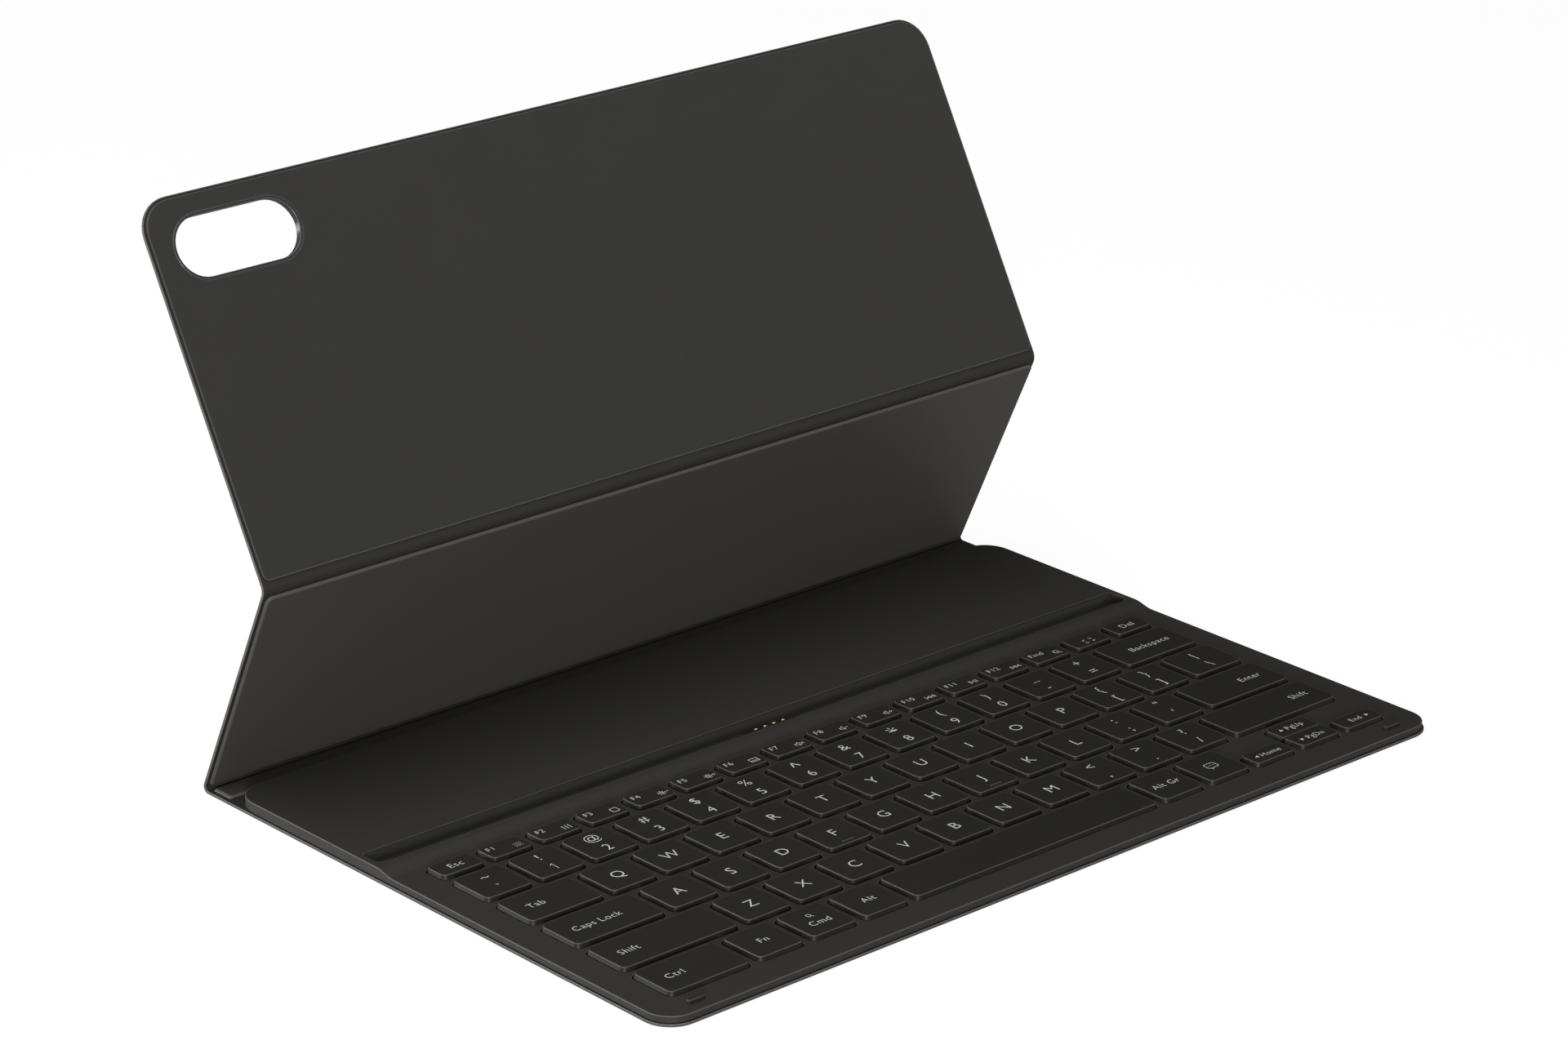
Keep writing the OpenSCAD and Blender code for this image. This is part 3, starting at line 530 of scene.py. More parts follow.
deck = {
    "edge": 0.20,           # rounding round the top of the deck
    "wellEdge": 0.09,
    "wellGap": 0.5,
    "undercut": 0.35,       # dark gap between the deck's wall and the skin
    "undercutRise": 0.17,
    "lean": 0.02,           # how far the deck's wall falls in towards its foot
    "slope": 0.03,          # how far its top is drawn in
    "frontRadius": 8.0,
    "rearRadius": 9.0,
    "dockRadius": 3.0,
    "dockRearRadius": 1.0,
    "dockGap": 0.05,
    "rise": 1.2,
    "stepLength": 7.2,
    "stepGap": 1.4,         # from the last row of keys to the curved step
    "stepCuts": 16,
}
deckLow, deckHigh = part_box("keyboard_deck")
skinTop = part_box("base_skin")[1].z
stepStart = capRect("key_escape")[3] + deck["stepGap"] * mm


def stepRise(y):
    t = min(max((y - stepStart) / (deck["stepLength"] * mm), 0), 1)
    return deck["rise"] * mm * (1 - math.cos(math.pi * t)) / 2


def grownBy(rect, gap):
    return rect[0] - gap, rect[1] - gap, rect[2] + gap, rect[3] + gap


def dockRadii(gap=0.0):
    return [(deck[name] + gap) * mm for name in ("dockRadius", "dockRadius", "dockRearRadius", "dockRearRadius")]


def makeDeck():
    frontTop = deckHigh.z - deck["rise"] * mm
    under, rise = deck["undercut"] * mm, deck["undercutRise"] * mm
    side = [(under, skinTop, 0.0), (under, skinTop + rise, 0.0),
            (deck["lean"] * mm, skinTop + 1.6 * rise, 0.0)]
    border = ((deckLow.x, deckLow.y, deckHigh.x, deckHigh.y),
              [deck["frontRadius"] * mm] * 2 + [deck["rearRadius"] * mm] * 2,
              side + wall(skinTop + 2 * rise, frontTop, deck["edge"] * mm, slope=deck["slope"] * mm)[1:], None)
    wells = [rect for node in keyLegends for rect in keyRects(node) if node not in ("key_up", "key_down")]
    down, up = capRect("key_down"), capRect("key_up")
    wells.append((down[0], down[1], up[2], up[3]))
    gap, radius = deck["wellGap"] * mm, (keyForm["cornerRadius"] + deck["wellGap"]) * mm
    holes = [(grownBy(rect, gap), [radius] * 4, wall(skinTop, frontTop, deck["wellEdge"] * mm), None)
             for rect in wells]
    dockLow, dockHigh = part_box("dock_insert")
    holes.append((grownBy((dockLow.x, dockLow.y, dockHigh.x, dockHigh.y), deck["dockGap"] * mm),
                  dockRadii(deck["dockGap"]), wall(skinTop, frontTop, 0.10 * mm), None))
    bm = plate(border, holes)
    cutAcross(bm, [stepStart + deck["stepLength"] * mm * i / deck["stepCuts"]
                   for i in range(deck["stepCuts"] + 1)])
    for vert in bm.verts:
        if vert.co.z > skinTop + 1.0 * mm:
            vert.co.z += stepRise(vert.co.y)
    piece = keepPiece("deckShell", bm, finishes["deckPlastic"], ["keyboard_deck"])
    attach(piece, "base")


# ---- Key caps, set out by geometry nodes ----

facingCorners = {"key_up": (0, 1), "key_down": (2, 3)}


def capForm(facing):
    # one cap of the smallest size: its corners only, each vertex marked with the corner it belongs to
    radius, slope = keyForm["cornerRadius"] * mm, keyForm["slope"] * mm
    radii = [keyForm["facingRadius"] * mm if corner in facing else radius for corner in range(4)]
    foot = keyForm["foot"] * mm
    skirt = capTop - keyForm["skirt"] * mm
    profile = [(0.6 * mm, capFoot, 0.0), (-foot, capFoot, 0.0), (-foot, skirt - 0.3 * mm, 0.0),
               (-foot * 0.93, skirt, 0.0)]
    profile += wall(capFoot, capTop, keyForm["edge"] * mm, slope=slope)[1:]
    bm = bmesh.new()
    # the cap's rounded top edge is marked for a painted highlight
    highlightAndWearMask = bm.verts.layers.float.new("edge")
    side = bm.verts.layers.float_vector.new("side")
    rings = []
    for inset, z, value in profile:
        points = outline((-radius, -radius, radius, radius), radii, inset)
        perCorner = len(points) // 4
        ring = []
        for i, point in enumerate(points):
            corner = i // perCorner
            if corner in facing:    # an upright wall there, close to the other key
                point.y += (min(inset, slope) + keyForm["facingReach"] * mm) * (-1 if corner < 2 else 1)
            vert = bm.verts.new((point.x, point.y, z))
            vert[side] = Vector((-1 if corner in (0, 3) else 1, -1 if corner in (0, 1) else 1, 0))
            vert[highlightAndWearMask] = value
            ring.append(vert)
        rings.append(ring)
    for low, high in zip(rings, rings[1:]):
        for a, b, c, d in zip(low, low[1:] + low[:1], high[1:] + high[:1], high):
            bm.faces.new((a, b, c, d))
    bm.faces.new(rings[-1])
    bm.faces.new(rings[0][::-1])
    mesh = bpy.data.meshes.new("capForm")
    bm.to_mesh(mesh)
    bm.free()
    form = bpy.data.objects.new("capForm", mesh)
    bpy.context.scene.collection.objects.link(form)
    return form


def capTree():
    # puts the cap form on every point and moves its corners out to that key's width and depth
    tree = bpy.data.node_groups.new("keyCaps", "GeometryNodeTree")
    new = tree.interface.new_socket
    new("Points", in_out="INPUT", socket_type="NodeSocketGeometry")
    new("Cap Form", in_out="INPUT", socket_type="NodeSocketObject")
    new("Reach", in_out="INPUT", socket_type="NodeSocketFloat").default_value = 1.0
    new("Finish", in_out="INPUT", socket_type="NodeSocketMaterial")
    new("Caps", in_out="OUTPUT", socket_type="NodeSocketGeometry")
    nodes, links = tree.nodes, tree.links
    given, out = nodes.new("NodeGroupInput"), nodes.new("NodeGroupOutput")
    form = nodes.new("GeometryNodeObjectInfo")
    place = nodes.new("GeometryNodeInstanceOnPoints")
    realize = nodes.new("GeometryNodeRealizeInstances")
    reach = nodes.new("GeometryNodeInputNamedAttribute")
    reach.data_type = "FLOAT_VECTOR"
    reach.inputs["Name"].default_value = "reach"
    side = nodes.new("GeometryNodeInputNamedAttribute")
    side.data_type = "FLOAT_VECTOR"
    side.inputs["Name"].default_value = "side"
    shift = nodes.new("ShaderNodeVectorMath")
    shift.operation = "MULTIPLY"
    scaled = nodes.new("ShaderNodeVectorMath")
    scaled.operation = "SCALE"
    move = nodes.new("GeometryNodeSetPosition")
    paint = nodes.new("GeometryNodeSetMaterial")
    links.new(given.outputs["Points"], place.inputs["Points"])
    links.new(given.outputs["Cap Form"], form.inputs["Object"])
    links.new(form.outputs["Geometry"], place.inputs["Instance"])
    links.new(place.outputs["Instances"], realize.inputs["Geometry"])
    links.new(realize.outputs["Geometry"], move.inputs["Geometry"])
    links.new(reach.outputs["Attribute"], shift.inputs[0])
    links.new(side.outputs["Attribute"], shift.inputs[1])
    links.new(shift.outputs[0], scaled.inputs[0])
    links.new(given.outputs["Reach"], scaled.inputs["Scale"])
    links.new(scaled.outputs[0], move.inputs["Offset"])
    links.new(move.outputs["Geometry"], paint.inputs["Geometry"])
    links.new(given.outputs["Finish"], paint.inputs["Material"])
    links.new(paint.outputs["Geometry"], out.inputs["Caps"])
    return tree


def plainMesh(name, source, tree, inputs):
    # runs a tree on source and keeps the result as a plain mesh piece
    modifier = source.modifiers.new("tree", "NODES")
    modifier.node_group = tree
    for label, value in inputs.items():
        modifier[tree.interface.items_tree[label].identifier] = value
    bpy.context.view_layer.update()
    graph = bpy.context.evaluated_depsgraph_get()
    mesh = bpy.data.meshes.new_from_object(source.evaluated_get(graph), depsgraph=graph)
    source.modifiers.remove(modifier)
    old = source.data
    source.data = mesh
    bpy.data.meshes.remove(old)
    mesh.name = source.name = name
    return source


def makeCaps():
    forms, tree = {facing: capForm(facing) for facing in ((), (0, 1), (2, 3))}, capTree()
    radius = keyForm["cornerRadius"] * mm
    for node in keyLegends:
        rects = keyRects(node)
        form = forms[facingCorners.get(node, ())]
        points = bpy.data.meshes.new(node)
        points.from_pydata([((r[0] + r[2]) / 2, (r[1] + r[3]) / 2, 0) for r in rects], [], [])
        reach = points.attributes.new("reach", "FLOAT_VECTOR", "POINT")
        for i, r in enumerate(rects):
            reach.data[i].vector = ((r[2] - r[0]) / 2 - radius, (r[3] - r[1]) / 2 - radius, 0)
        source = bpy.data.objects.new(node, points)
        bpy.context.scene.collection.objects.link(source)
        caps = plainMesh(node + "_caps", source, tree,
                         {"Cap Form": form, "Reach": 1.0, "Finish": finishes["keyPlastic"]})
        caps.data.polygons.foreach_set("use_smooth", [True] * len(caps.data.polygons))
        caps.data.set_sharp_from_angle(angle=math.radians(38))
        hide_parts(node)
        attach(caps, node + keyForm["bodySuffix"])
    for form in forms.values():
        bpy.data.objects.remove(form)


# ---- Legends ----

printing = {
    "lift": 0.012,          # height of the ink above a cap
    "thin": 0.008,          # how much the letters are thinned, as a share of their size
    "stroke": 0.22,         # width of a drawn line
    "spread": 1.08,         # spacing of the letters in a word
    "letter": 3.65,         # heights of capitals, in mm
    "digit": 3.5,
    "raised": {"*": (1.6, -1.3), "^": (1.4, -0.8)},     # signs drawn larger, and their shift
    "word": 2.4,
    "functionNumber": 2.0,
    "arrowWord": 2.0,
    "drawing": 1.4,         # scale of the small drawings
    "pairStep": 3.5,        # from the middle of a key to its lower and upper sign
    "wordMargin": 4.7,      # from the side of a wide key to its word
}


def measureCapital():
    curve = bpy.data.curves.new("sample", "FONT")
    curve.body = "H"
    sample = bpy.data.objects.new("sample", curve)
    bpy.context.scene.collection.objects.link(sample)
    bpy.context.view_layer.update()
    height = sample.dimensions.y
    bpy.data.objects.remove(sample)
    bpy.data.curves.remove(curve)
    return height


capitalShare = measureCapital()


def addText(bm, text, x, y, height, align="CENTER"):
    # baseline text whose capitals are centred on y
    if not text:
        return
    curve = bpy.data.curves.new("legend", "FONT")
    curve.body, curve.align_x, curve.resolution_u = text, align, 3
    curve.size = height * mm / capitalShare
    curve.offset = -printing["thin"] * curve.size
    curve.space_character = printing["spread"]
    temporary = bpy.data.objects.new("legend", curve)
    bpy.context.scene.collection.objects.link(temporary)
    bpy.context.view_layer.update()
    mesh = bpy.data.meshes.new_from_object(temporary.evaluated_get(bpy.context.evaluated_depsgraph_get()))
    mesh.transform(Matrix.Translation((x, y - height * mm / 2, 0)))
    bm.from_mesh(mesh)
    bpy.data.meshes.remove(mesh)
    bpy.data.objects.remove(temporary)
    bpy.data.curves.remove(curve)


def ribbon(bm, points, closed=False):
    # a drawn line of even width with mitred corners
    points = [Vector(p) for p in points]
    half, last, pairs = printing["stroke"] * mm / 2, len(points) - 1, []
    for i, point in enumerate(points):
        before = points[i - 1] if (i or closed) else None
        after = points[(i + 1) % len(points)] if (i < last or closed) else None
        inward = (point - before).normalized() if before is not None else None
        outward = (after - point).normalized() if after is not None else None
        inward, outward = inward or outward, outward or inward
        along = (inward + outward).normalized()
        across = Vector((-along.y, along.x)) * half / max(along.dot(outward), 0.5)
        end = along * half if not closed and i in (0, last) else Vector((0, 0))
        spot = point + (end if i else -end)
        pairs.append((bm.verts.new((*(spot + across), 0)), bm.verts.new((*(spot - across), 0))))
    for (a, b), (c, d) in zip(pairs, pairs[1:] + (pairs[:1] if closed else [])):
        bm.faces.new((a, b, d, c))


def ring(x, y, r, count=20, start=0, end=360):
    steps = count if end - start < 360 else count - 1
    return [(x + r * math.cos(math.radians(start + (end - start) * i / count)),
             y + r * math.sin(math.radians(start + (end - start) * i / count))) for i in range(steps + 1)]


def speaker(x):
    return [(x - 0.9, -0.3), (x - 0.45, -0.3), (x + 0.05, -0.75), (x + 0.05, 0.75), (x - 0.45, 0.3), (x - 0.9, 0.3)]


def sun():
    rays = [([(0.62 * math.cos(a), 0.62 * math.sin(a)), (0.85 * math.cos(a), 0.85 * math.sin(a))], False)
            for a in (math.pi / 4 * i for i in range(8))]
    return [(ring(0, 0, 0.36, 14), True)] + rays


def triangle(x, y, size, turn):
    corners = [(size, 0), (-size * 0.6, size * 0.85), (-size * 0.6, -size * 0.85)]
    c, s = math.cos(math.radians(turn)), math.sin(math.radians(turn))
    return [(x + c * u - s * v, y + s * u + c * v) for u, v in corners]


# (line, closed) strokes in millimetres about the middle of each small drawing
drawings = {
    "grid": [([(x * 0.62 - 0.08, y * 0.62), (x * 0.62 + 0.08, y * 0.62)], False)
             for x in (-1, 0, 1) for y in (-1, 0, 1)],
    "bars": [([(x, -0.75), (x, 0.75)], False) for x in (-0.75, 0, 0.75)],
    "home": [([(-0.8, -0.6), (-0.6, -0.8), (0.6, -0.8), (0.8, -0.6), (0.8, 0.6), (0.6, 0.8), (-0.6, 0.8),
               (-0.8, 0.6)], True)],
    "sunLess": sun() + [([(1.15, 0), (1.6, 0)], False)],
    "sunMore": sun() + [([(1.1, 0), (1.7, 0)], False), ([(1.4, -0.3), (1.4, 0.3)], False)],
    "touchpad": [([(-1.0, -0.7), (1.0, -0.7), (1.0, 0.7), (-1.0, 0.7)], True), ([(-1.0, -0.2), (1.0, -0.2)], False)],
    "soundOff": [(speaker(0), True), ([(0.45, -0.35), (1.1, 0.35)], False), ([(0.45, 0.35), (1.1, -0.35)], False)],
    "soundLess": [(speaker(0), True), ([(0.5, 0), (1.1, 0)], False)],
    "soundMore": [(speaker(0), True), ([(0.5, 0), (1.2, 0)], False), ([(0.85, -0.35), (0.85, 0.35)], False)],
    "back": [([(-1.2, -0.55), (-1.2, 0.55)], False), (triangle(-0.35, 0, 0.55, 180), True),
             (triangle(0.75, 0, 0.55, 180), True)],
    "play": [(triangle(-0.55, 0, 0.6, 0), True), ([(0.45, -0.55), (0.45, 0.55)], False),
             ([(0.95, -0.55), (0.95, 0.55)], False)],
    "next": [(triangle(-0.75, 0, 0.55, 0), True), (triangle(0.35, 0, 0.55, 0), True),
             ([(1.2, -0.55), (1.2, 0.55)], False)],
    "lens": [(ring(-0.1, 0.12, 0.62, 18), True), ([(0.38, -0.36), (0.85, -0.83)], False)],
    "screen": [([(-1.1, 0.3), (-1.1, 0.75), (-0.6, 0.75)], False), ([(0.6, 0.75), (1.1, 0.75), (1.1, 0.3)], False),
               ([(1.1, -0.3), (1.1, -0.75), (0.6, -0.75)], False), ([(-0.6, -0.75), (-1.1, -0.75), (-1.1, -0.3)], False)],
    "one": [([(-0.62, 0.72), (0.12, 1.42), (0.12, -1.42)], False)],
    "bubble": [([(-1.5, -0.55), (-1.5, 1.05), (-1.2, 1.35), (1.2, 1.35), (1.5, 1.05), (1.5, -0.55), (1.2, -0.85),
                 (-0.2, -0.85), (-0.95, -1.5), (-0.8, -0.85), (-1.2, -0.85)], True)]
              + [([(x - 0.06, 0.25), (x + 0.06, 0.25)], False) for x in (-0.7, 0, 0.7)],
}


def addDrawing(bm, name, x, y, size=1.0):
    for points, closed in drawings[name]:
        ribbon(bm, [(x + u * size * mm, y + v * size * mm) for u, v in points], closed)


def addArrow(bm, x, y, turn):
    corners = triangle(0, 0, 0.8, turn)
    bm.faces.new([bm.verts.new((x + u * mm, y + v * mm, 0)) for u, v in corners])


def printKey(bm, node, legend, rect):
    x0, y0, x1, y1 = rect
    x, y, margin = (x0 + x1) / 2, (y0 + y1) / 2, printing["wordMargin"] * mm
    step = printing["pairStep"] * mm
    if node in ("key_left", "key_up", "key_down", "key_right"):
        turn = {"key_left": 180, "key_up": 90, "key_down": 270, "key_right": 0}[node]
        far = node == "key_right"
        addArrow(bm, x + (3.9 if far else -4.3) * mm, y, turn)
        addText(bm, legend, x + (-0.7 if far else 0.9) * mm, y, printing["arrowWord"])
    elif node.startswith("keys_f") or node == "keys_screen_search":
        addText(bm, legend[0], x0 + 1.6 * mm, y + 1.2 * mm, printing["functionNumber"], "LEFT")
        addDrawing(bm, legend[1], x + (3.6 if legend[0] else 0) * mm, y - 1.1 * mm, printing["drawing"])
    elif isinstance(legend, tuple):
        if legend[0] == "1":
            addDrawing(bm, "one", x, y - step, printing["digit"] / 2.95)
        else:
            addText(bm, legend[0], x, y - step, printing["digit"])
        scale, shift = printing["raised"].get(legend[1], (1.0, 0.0))
        addText(bm, legend[1], x, y + step + shift * mm, printing["digit"] * scale)
    elif legend in drawings:
        addDrawing(bm, legend, x, y, 1.25)
    elif node in ("key_tab", "key_caps_lock", "key_left_shift", "key_control"):
        addText(bm, legend, x0 + margin, y, printing["word"], "LEFT")
    elif node in ("key_backspace", "key_enter", "key_right_shift"):
        addText(bm, legend, x1 - margin, y, printing["word"], "RIGHT")
    elif node == "key_command":
        addDrawing(bm, "lens", x, y + 2.6 * mm, 1.1)
        addText(bm, legend, x, y - 1.6 * mm, printing["word"])
    else:
        addText(bm, legend, x, y, printing["letter"] if len(legend) == 1 else printing["word"])


def makeLegends():
    for node, legends in keyLegends.items():
        bm = bmesh.new()
        for legend, rect in zip(legends, keyRects(node)):
            printKey(bm, node, legend, rect)
        if bm.faces:
            height = Matrix.Translation((0, 0, capTop + printing["lift"] * mm))
            for face in bm.faces:
                face.normal_update()
                if face.normal.z < 0:
                    face.normal_flip()
            ink = keepPiece(node + "_legends", bm, finishes["legendInk"], matrix=height)
            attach(ink, node + keyForm["bodySuffix"])
        else:
            bm.free()


homingBars = {"keys_a_to_g": 3, "keys_h_to_quote": 1}
homingForm = {"length": 4.0, "width": 0.5, "height": 0.15, "place": 1.9}


def makeHomingBars():
    for node, number in homingBars.items():
        x0, y0, x1, y1 = keyRects(node)[number]
        x, y = (x0 + x1) / 2, y0 + homingForm["place"] * mm
        length, width = homingForm["length"] * mm / 2, homingForm["width"] * mm / 2
        bm = plate(((x - length, y - width, x + length, y + width), [width * 0.98] * 4,
                    wall(capTop - 0.05 * mm, capTop + homingForm["height"] * mm, 0.12 * mm), 0))
        bar = keepPiece(node + "_homing_bar", bm, finishes["keyPlastic"])
        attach(bar, node + keyForm["bodySuffix"])


# ---- The skin: one sheet, cut flat and bent round its creases ----

skin = {
    "thickness": 0.8,
    "arris": 0.17,          # rounding of the two arrises of the cut edge
    "frontRadius": 8.5,
    "topRadius": 10.0,
    "rearBend": 1.4,        # radius of the sheet's middle at the rear crease
    "foldBend": 3.4,
    "bendCuts": 10,
    "spineZone": 1.3,       # half of the strip that bends at the spine crease
}
window = {"width": 40.0, "height": 17.0, "rim": 0.9, "gap": 0.05}

spineHinge, rearHinge, foldHinge = (jointPlaces[n] for n in ("spine_hinge", "rear_hinge", "fold_hinge"))
lowerLean = math.atan2(foldHinge.z - rearHinge.z, foldHinge.y - rearHinge.y)
backNormal = Vector(mounts["tablet_back_face"]["axis"])
upperLean = math.atan2(-backNormal.y, backNormal.z)
lowerLength = (foldHinge - rearHinge).length
halfSkin = skin["thickness"] * mm / 2
upperLength = (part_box("upper_skin")[1].z - foldHinge.z - halfSkin * math.cos(upperLean)) / math.sin(upperLean)
windowPlace = Vector(mounts["camera_window"]["pos_m"])
windowUp = (windowPlace - foldHinge).dot(Vector((0, math.cos(upperLean), math.sin(upperLean))))


def skinStretches():
    # (length, turn) of each straight or bent stretch from the front edge to the top edge
    rearTurn, foldTurn = lowerLean, upperLean - lowerLean
    rearCut = skin["rearBend"] * mm * math.tan(rearTurn / 2)
    foldCut = skin["foldBend"] * mm * math.tan(-foldTurn / 2)
    flat = rearHinge.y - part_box("base_skin")[0].y
    return [(flat - rearCut, 0.0), (skin["rearBend"] * mm * rearTurn, rearTurn),
            (lowerLength - rearCut - foldCut, 0.0), (skin["foldBend"] * mm * -foldTurn, foldTurn),
            (upperLength - foldCut, 0.0)]


stretches = skinStretches()
stretchEnds = [sum(length for length, turn in stretches[:i]) for i in range(len(stretches) + 1)]
foldTangent = stretchEnds[4] - skin["foldBend"] * mm * math.tan((lowerLean - upperLean) / 2)


def onSkin(s, h=0.0):
    # (y, z) at distance s along the sheet and height h towards its inner side
    y, z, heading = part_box("base_skin")[0].y, halfSkin, 0.0
    for length, turn in stretches:
        part = min(s, length) if (length, turn) != stretches[-1] else s
        if turn:
            radius, angle = length / turn, turn * part / length
            y += radius * (math.sin(heading + angle) - math.sin(heading))
            z -= radius * (math.cos(heading + angle) - math.cos(heading))
            heading += angle
        else:
            y, z = y + part * math.cos(heading), z + part * math.sin(heading)
        s -= part
        if s <= 0:
            break
    return y - h * math.sin(heading), z + h * math.cos(heading)


def skinPoint(s):
    y, z = onSkin(s)
    return Vector((0, y, z))


def makeSkin():
    low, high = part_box("base_skin")
    total, arris = stretchEnds[-1], skin["arris"] * mm
    edge = wall(-halfSkin, halfSkin, arris, arris)
    # the cut edge is painted paler, partly as the cut edge's own colour and partly as painted highlight, fullest on
    # the arrises
    edge = [(inset, z, max(value, 0.55 if inset == 0 else value)) for inset, z, value in edge]
    border = ((low.x, 0, high.x, total), [skin["frontRadius"] * mm] * 2 + [skin["topRadius"] * mm] * 2, edge, None)
    middle = foldTangent + windowUp
    halfWide = (window["width"] / 2 + window["rim"] + window["gap"]) * mm
    halfHigh = (window["height"] / 2 + window["rim"] + window["gap"]) * mm
    hole = ((windowPlace.x - halfWide, middle - halfHigh, windowPlace.x + halfWide, middle + halfHigh),
            [halfHigh * 0.999] * 4, edge, 0)
    bm = plate(border, [hole])
    spine, zone = spineHinge.y - low.y, skin["spineZone"] * mm
    cuts, count = [spine - zone + 2 * zone * i / 8 for i in range(9)], skin["bendCuts"]
    for start, end in (stretchEnds[1:3], stretchEnds[3:5]):
        cuts += [start + (end - start) * i / count for i in range(count + 1)]
    spineMiddle, lowerMiddle = (spine + stretchEnds[1]) / 2, (stretchEnds[2] + stretchEnds[3]) / 2
    cutAcross(bm, sorted(cuts + [spineMiddle, lowerMiddle]))
    sections = [
        ("skinBase", "base", "spine", (-1.0, spineMiddle), (spine - zone, spine + zone),
         ["base_skin", "spine_crease"]),
        ("skinRear", "spine", "lower_panel", (spineMiddle, lowerMiddle), stretchEnds[1:3],
         ["spine_skin", "rear_crease"]),
        ("skinBack", "lower_panel", "upper_panel", (lowerMiddle, 9.0), stretchEnds[3:5],
         ["lower_skin", "fold_crease", "upper_skin"]),
    ]
    for name, first, second, (a, b), (start, end), nodes in sections:
        part = bm.copy()
        outside = [face for face in part.faces if not a < face.calc_center_median().y < b]
        bmesh.ops.delete(part, geom=outside, context="FACES")
        bmesh.ops.holes_fill(part, edges=[edge for edge in part.edges if edge.is_boundary], sides=0)
        for vert in part.verts:
            vert.co.y, vert.co.z = onSkin(vert.co.y, vert.co.z)
        piece = keepPiece(name, part, finishes["coverSkin"], nodes)
        skinPoint(start)
        skinPoint(end)
        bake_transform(piece)
    bm.free()


# ---- Plates on the skin ----

linings = {
    "lowerGap": 0.3,        # height of the lower plate above the skin
    "lowerThickness": 0.8,
    "lowerBevel": 0.4,
    "lowerRadius": 2.0,
    "creaseRadius": 0.8,    # its corners at the rear crease
    "upperGap": 0.3,
    "upperThickness": 0.5,
    "upperEdge": 0.2,
    "upperRadius": 9.1,
    "inset": 0.9,
    "lowerStart": 2.55,     # from the rear crease to the lower plate
    "lowerEnd": 1.55,       # from the lower plate to the fold
    "upperStart": 2.55,
    "spineBevel": 0.4,
    "spineRadius": 1.0,
}


def panelMatrix(hinge, lean):
    return Matrix.Translation(hinge) @ Matrix.Rotation(lean, 4, "X")


def bevelWall(low, high, bevel, share=1.5, soften=0.14):
    # straight slope with softened arrises, as on the lining plates; the slope and arrises are marked for a painted
    # highlight
    across = bevel * share
    support = plateSteps["support"] * mm
    soft = soften * mm
    return [(0.0, low, 0.0), (0.0, high - bevel - soft, 0.0), (soft * 0.3, high - bevel, 0.6),
            (soft * 1.1, high - bevel + soft * 0.5, 0.6), (across - soft, high - soft * 0.5, 0.6),
            (across + soft * 0.2, high - soft * 0.1, 0.5), (across + soft, high, 0.3), (across + soft + support, high, 0.0)]


def makeLowerLining():
    low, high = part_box("lower_lining")
    z0 = halfSkin + linings["lowerGap"] * mm
    rect = (low.x, linings["lowerStart"] * mm, high.x, lowerLength - linings["lowerEnd"] * mm)
    radii = [linings["creaseRadius"] * mm] * 2 + [linings["lowerRadius"] * mm] * 2
    bm = plate((rect, radii,
                bevelWall(z0, z0 + linings["lowerThickness"] * mm, linings["lowerBevel"] * mm), None))
    piece = keepPiece("lowerLiningPlate", bm, finishes["liningPlastic"], ["lower_lining"],
                      panelMatrix(rearHinge, lowerLean))
    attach(piece, "lower_panel")


def windowHole(z0, z1, edge, grow=0.0):
    halfWide, halfHigh = (window["width"] / 2 + grow) * mm, (window["height"] / 2 + grow) * mm
    rect = (windowPlace.x - halfWide, windowUp - halfHigh, windowPlace.x + halfWide, windowUp + halfHigh)
    return rect, [halfHigh * 0.999] * 4, wall(z0, z1, edge * mm), 0


def makeUpperLining():
    low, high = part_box("upper_lining")
    z0 = halfSkin + linings["upperGap"] * mm
    z1 = z0 + linings["upperThickness"] * mm
    rect = (low.x, linings["upperStart"] * mm, high.x, upperLength - linings["inset"] * mm)
    radii = [linings["lowerRadius"] * mm] * 2 + [linings["upperRadius"] * mm] * 2
    bm = plate((rect, radii, wall(z0, z1, linings["upperEdge"] * mm), None),
               [windowHole(z0, z1, linings["upperEdge"] * 0.5, window["rim"] + window["gap"])])
    piece = keepPiece("upperLiningPanel", bm, finishes["softLining"], ["upper_lining"],
                      panelMatrix(foldHinge, upperLean))
    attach(piece, "upper_panel")


def makeSpinePlate():
    low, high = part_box("spine_plate")
    bm = plate(((low.x, low.y, high.x, high.y), [linings["spineRadius"] * mm] * 4,
                bevelWall(low.z, high.z, linings["spineBevel"] * mm), None))
    piece = keepPiece("spinePlate", bm, finishes["liningPlastic"], ["spine_plate"])
    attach(piece, "spine")


cameraRim = {"rise": 0.6, "edge": 0.22}


def makeCameraRim():
    z0 = -halfSkin - cameraRim["rise"] * mm
    z1 = halfSkin + (linings["upperGap"] + linings["upperThickness"]) * mm
    edge = cameraRim["edge"]
    rect, radii, profile, ease = windowHole(z0, z1, edge, window["rim"])
    profile = wall(z0, z1, edge * mm, edge * mm)
    inner = windowHole(z0, z1, edge)
    bm = plate((rect, radii, profile, 0), [(inner[0], inner[1], profile, 0)])
    piece = keepPiece("cameraWindowRim", bm, finishes["rimPlastic"], ["camera_rim"],
                      panelMatrix(foldHinge, upperLean))
    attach(piece, "upper_panel")


penPocket = {
    "bore": 4.3,
    "wall": 0.8,
    "crown": 0.3,
    "foot": 12.0,
    "length": 150.0,
    "blind": 4.0,
    "fall": 3.6,            # length over which the blind end comes down to the skin
    "lip": 0.35,
    "across": 48,
    "boreSteps": 40,
}


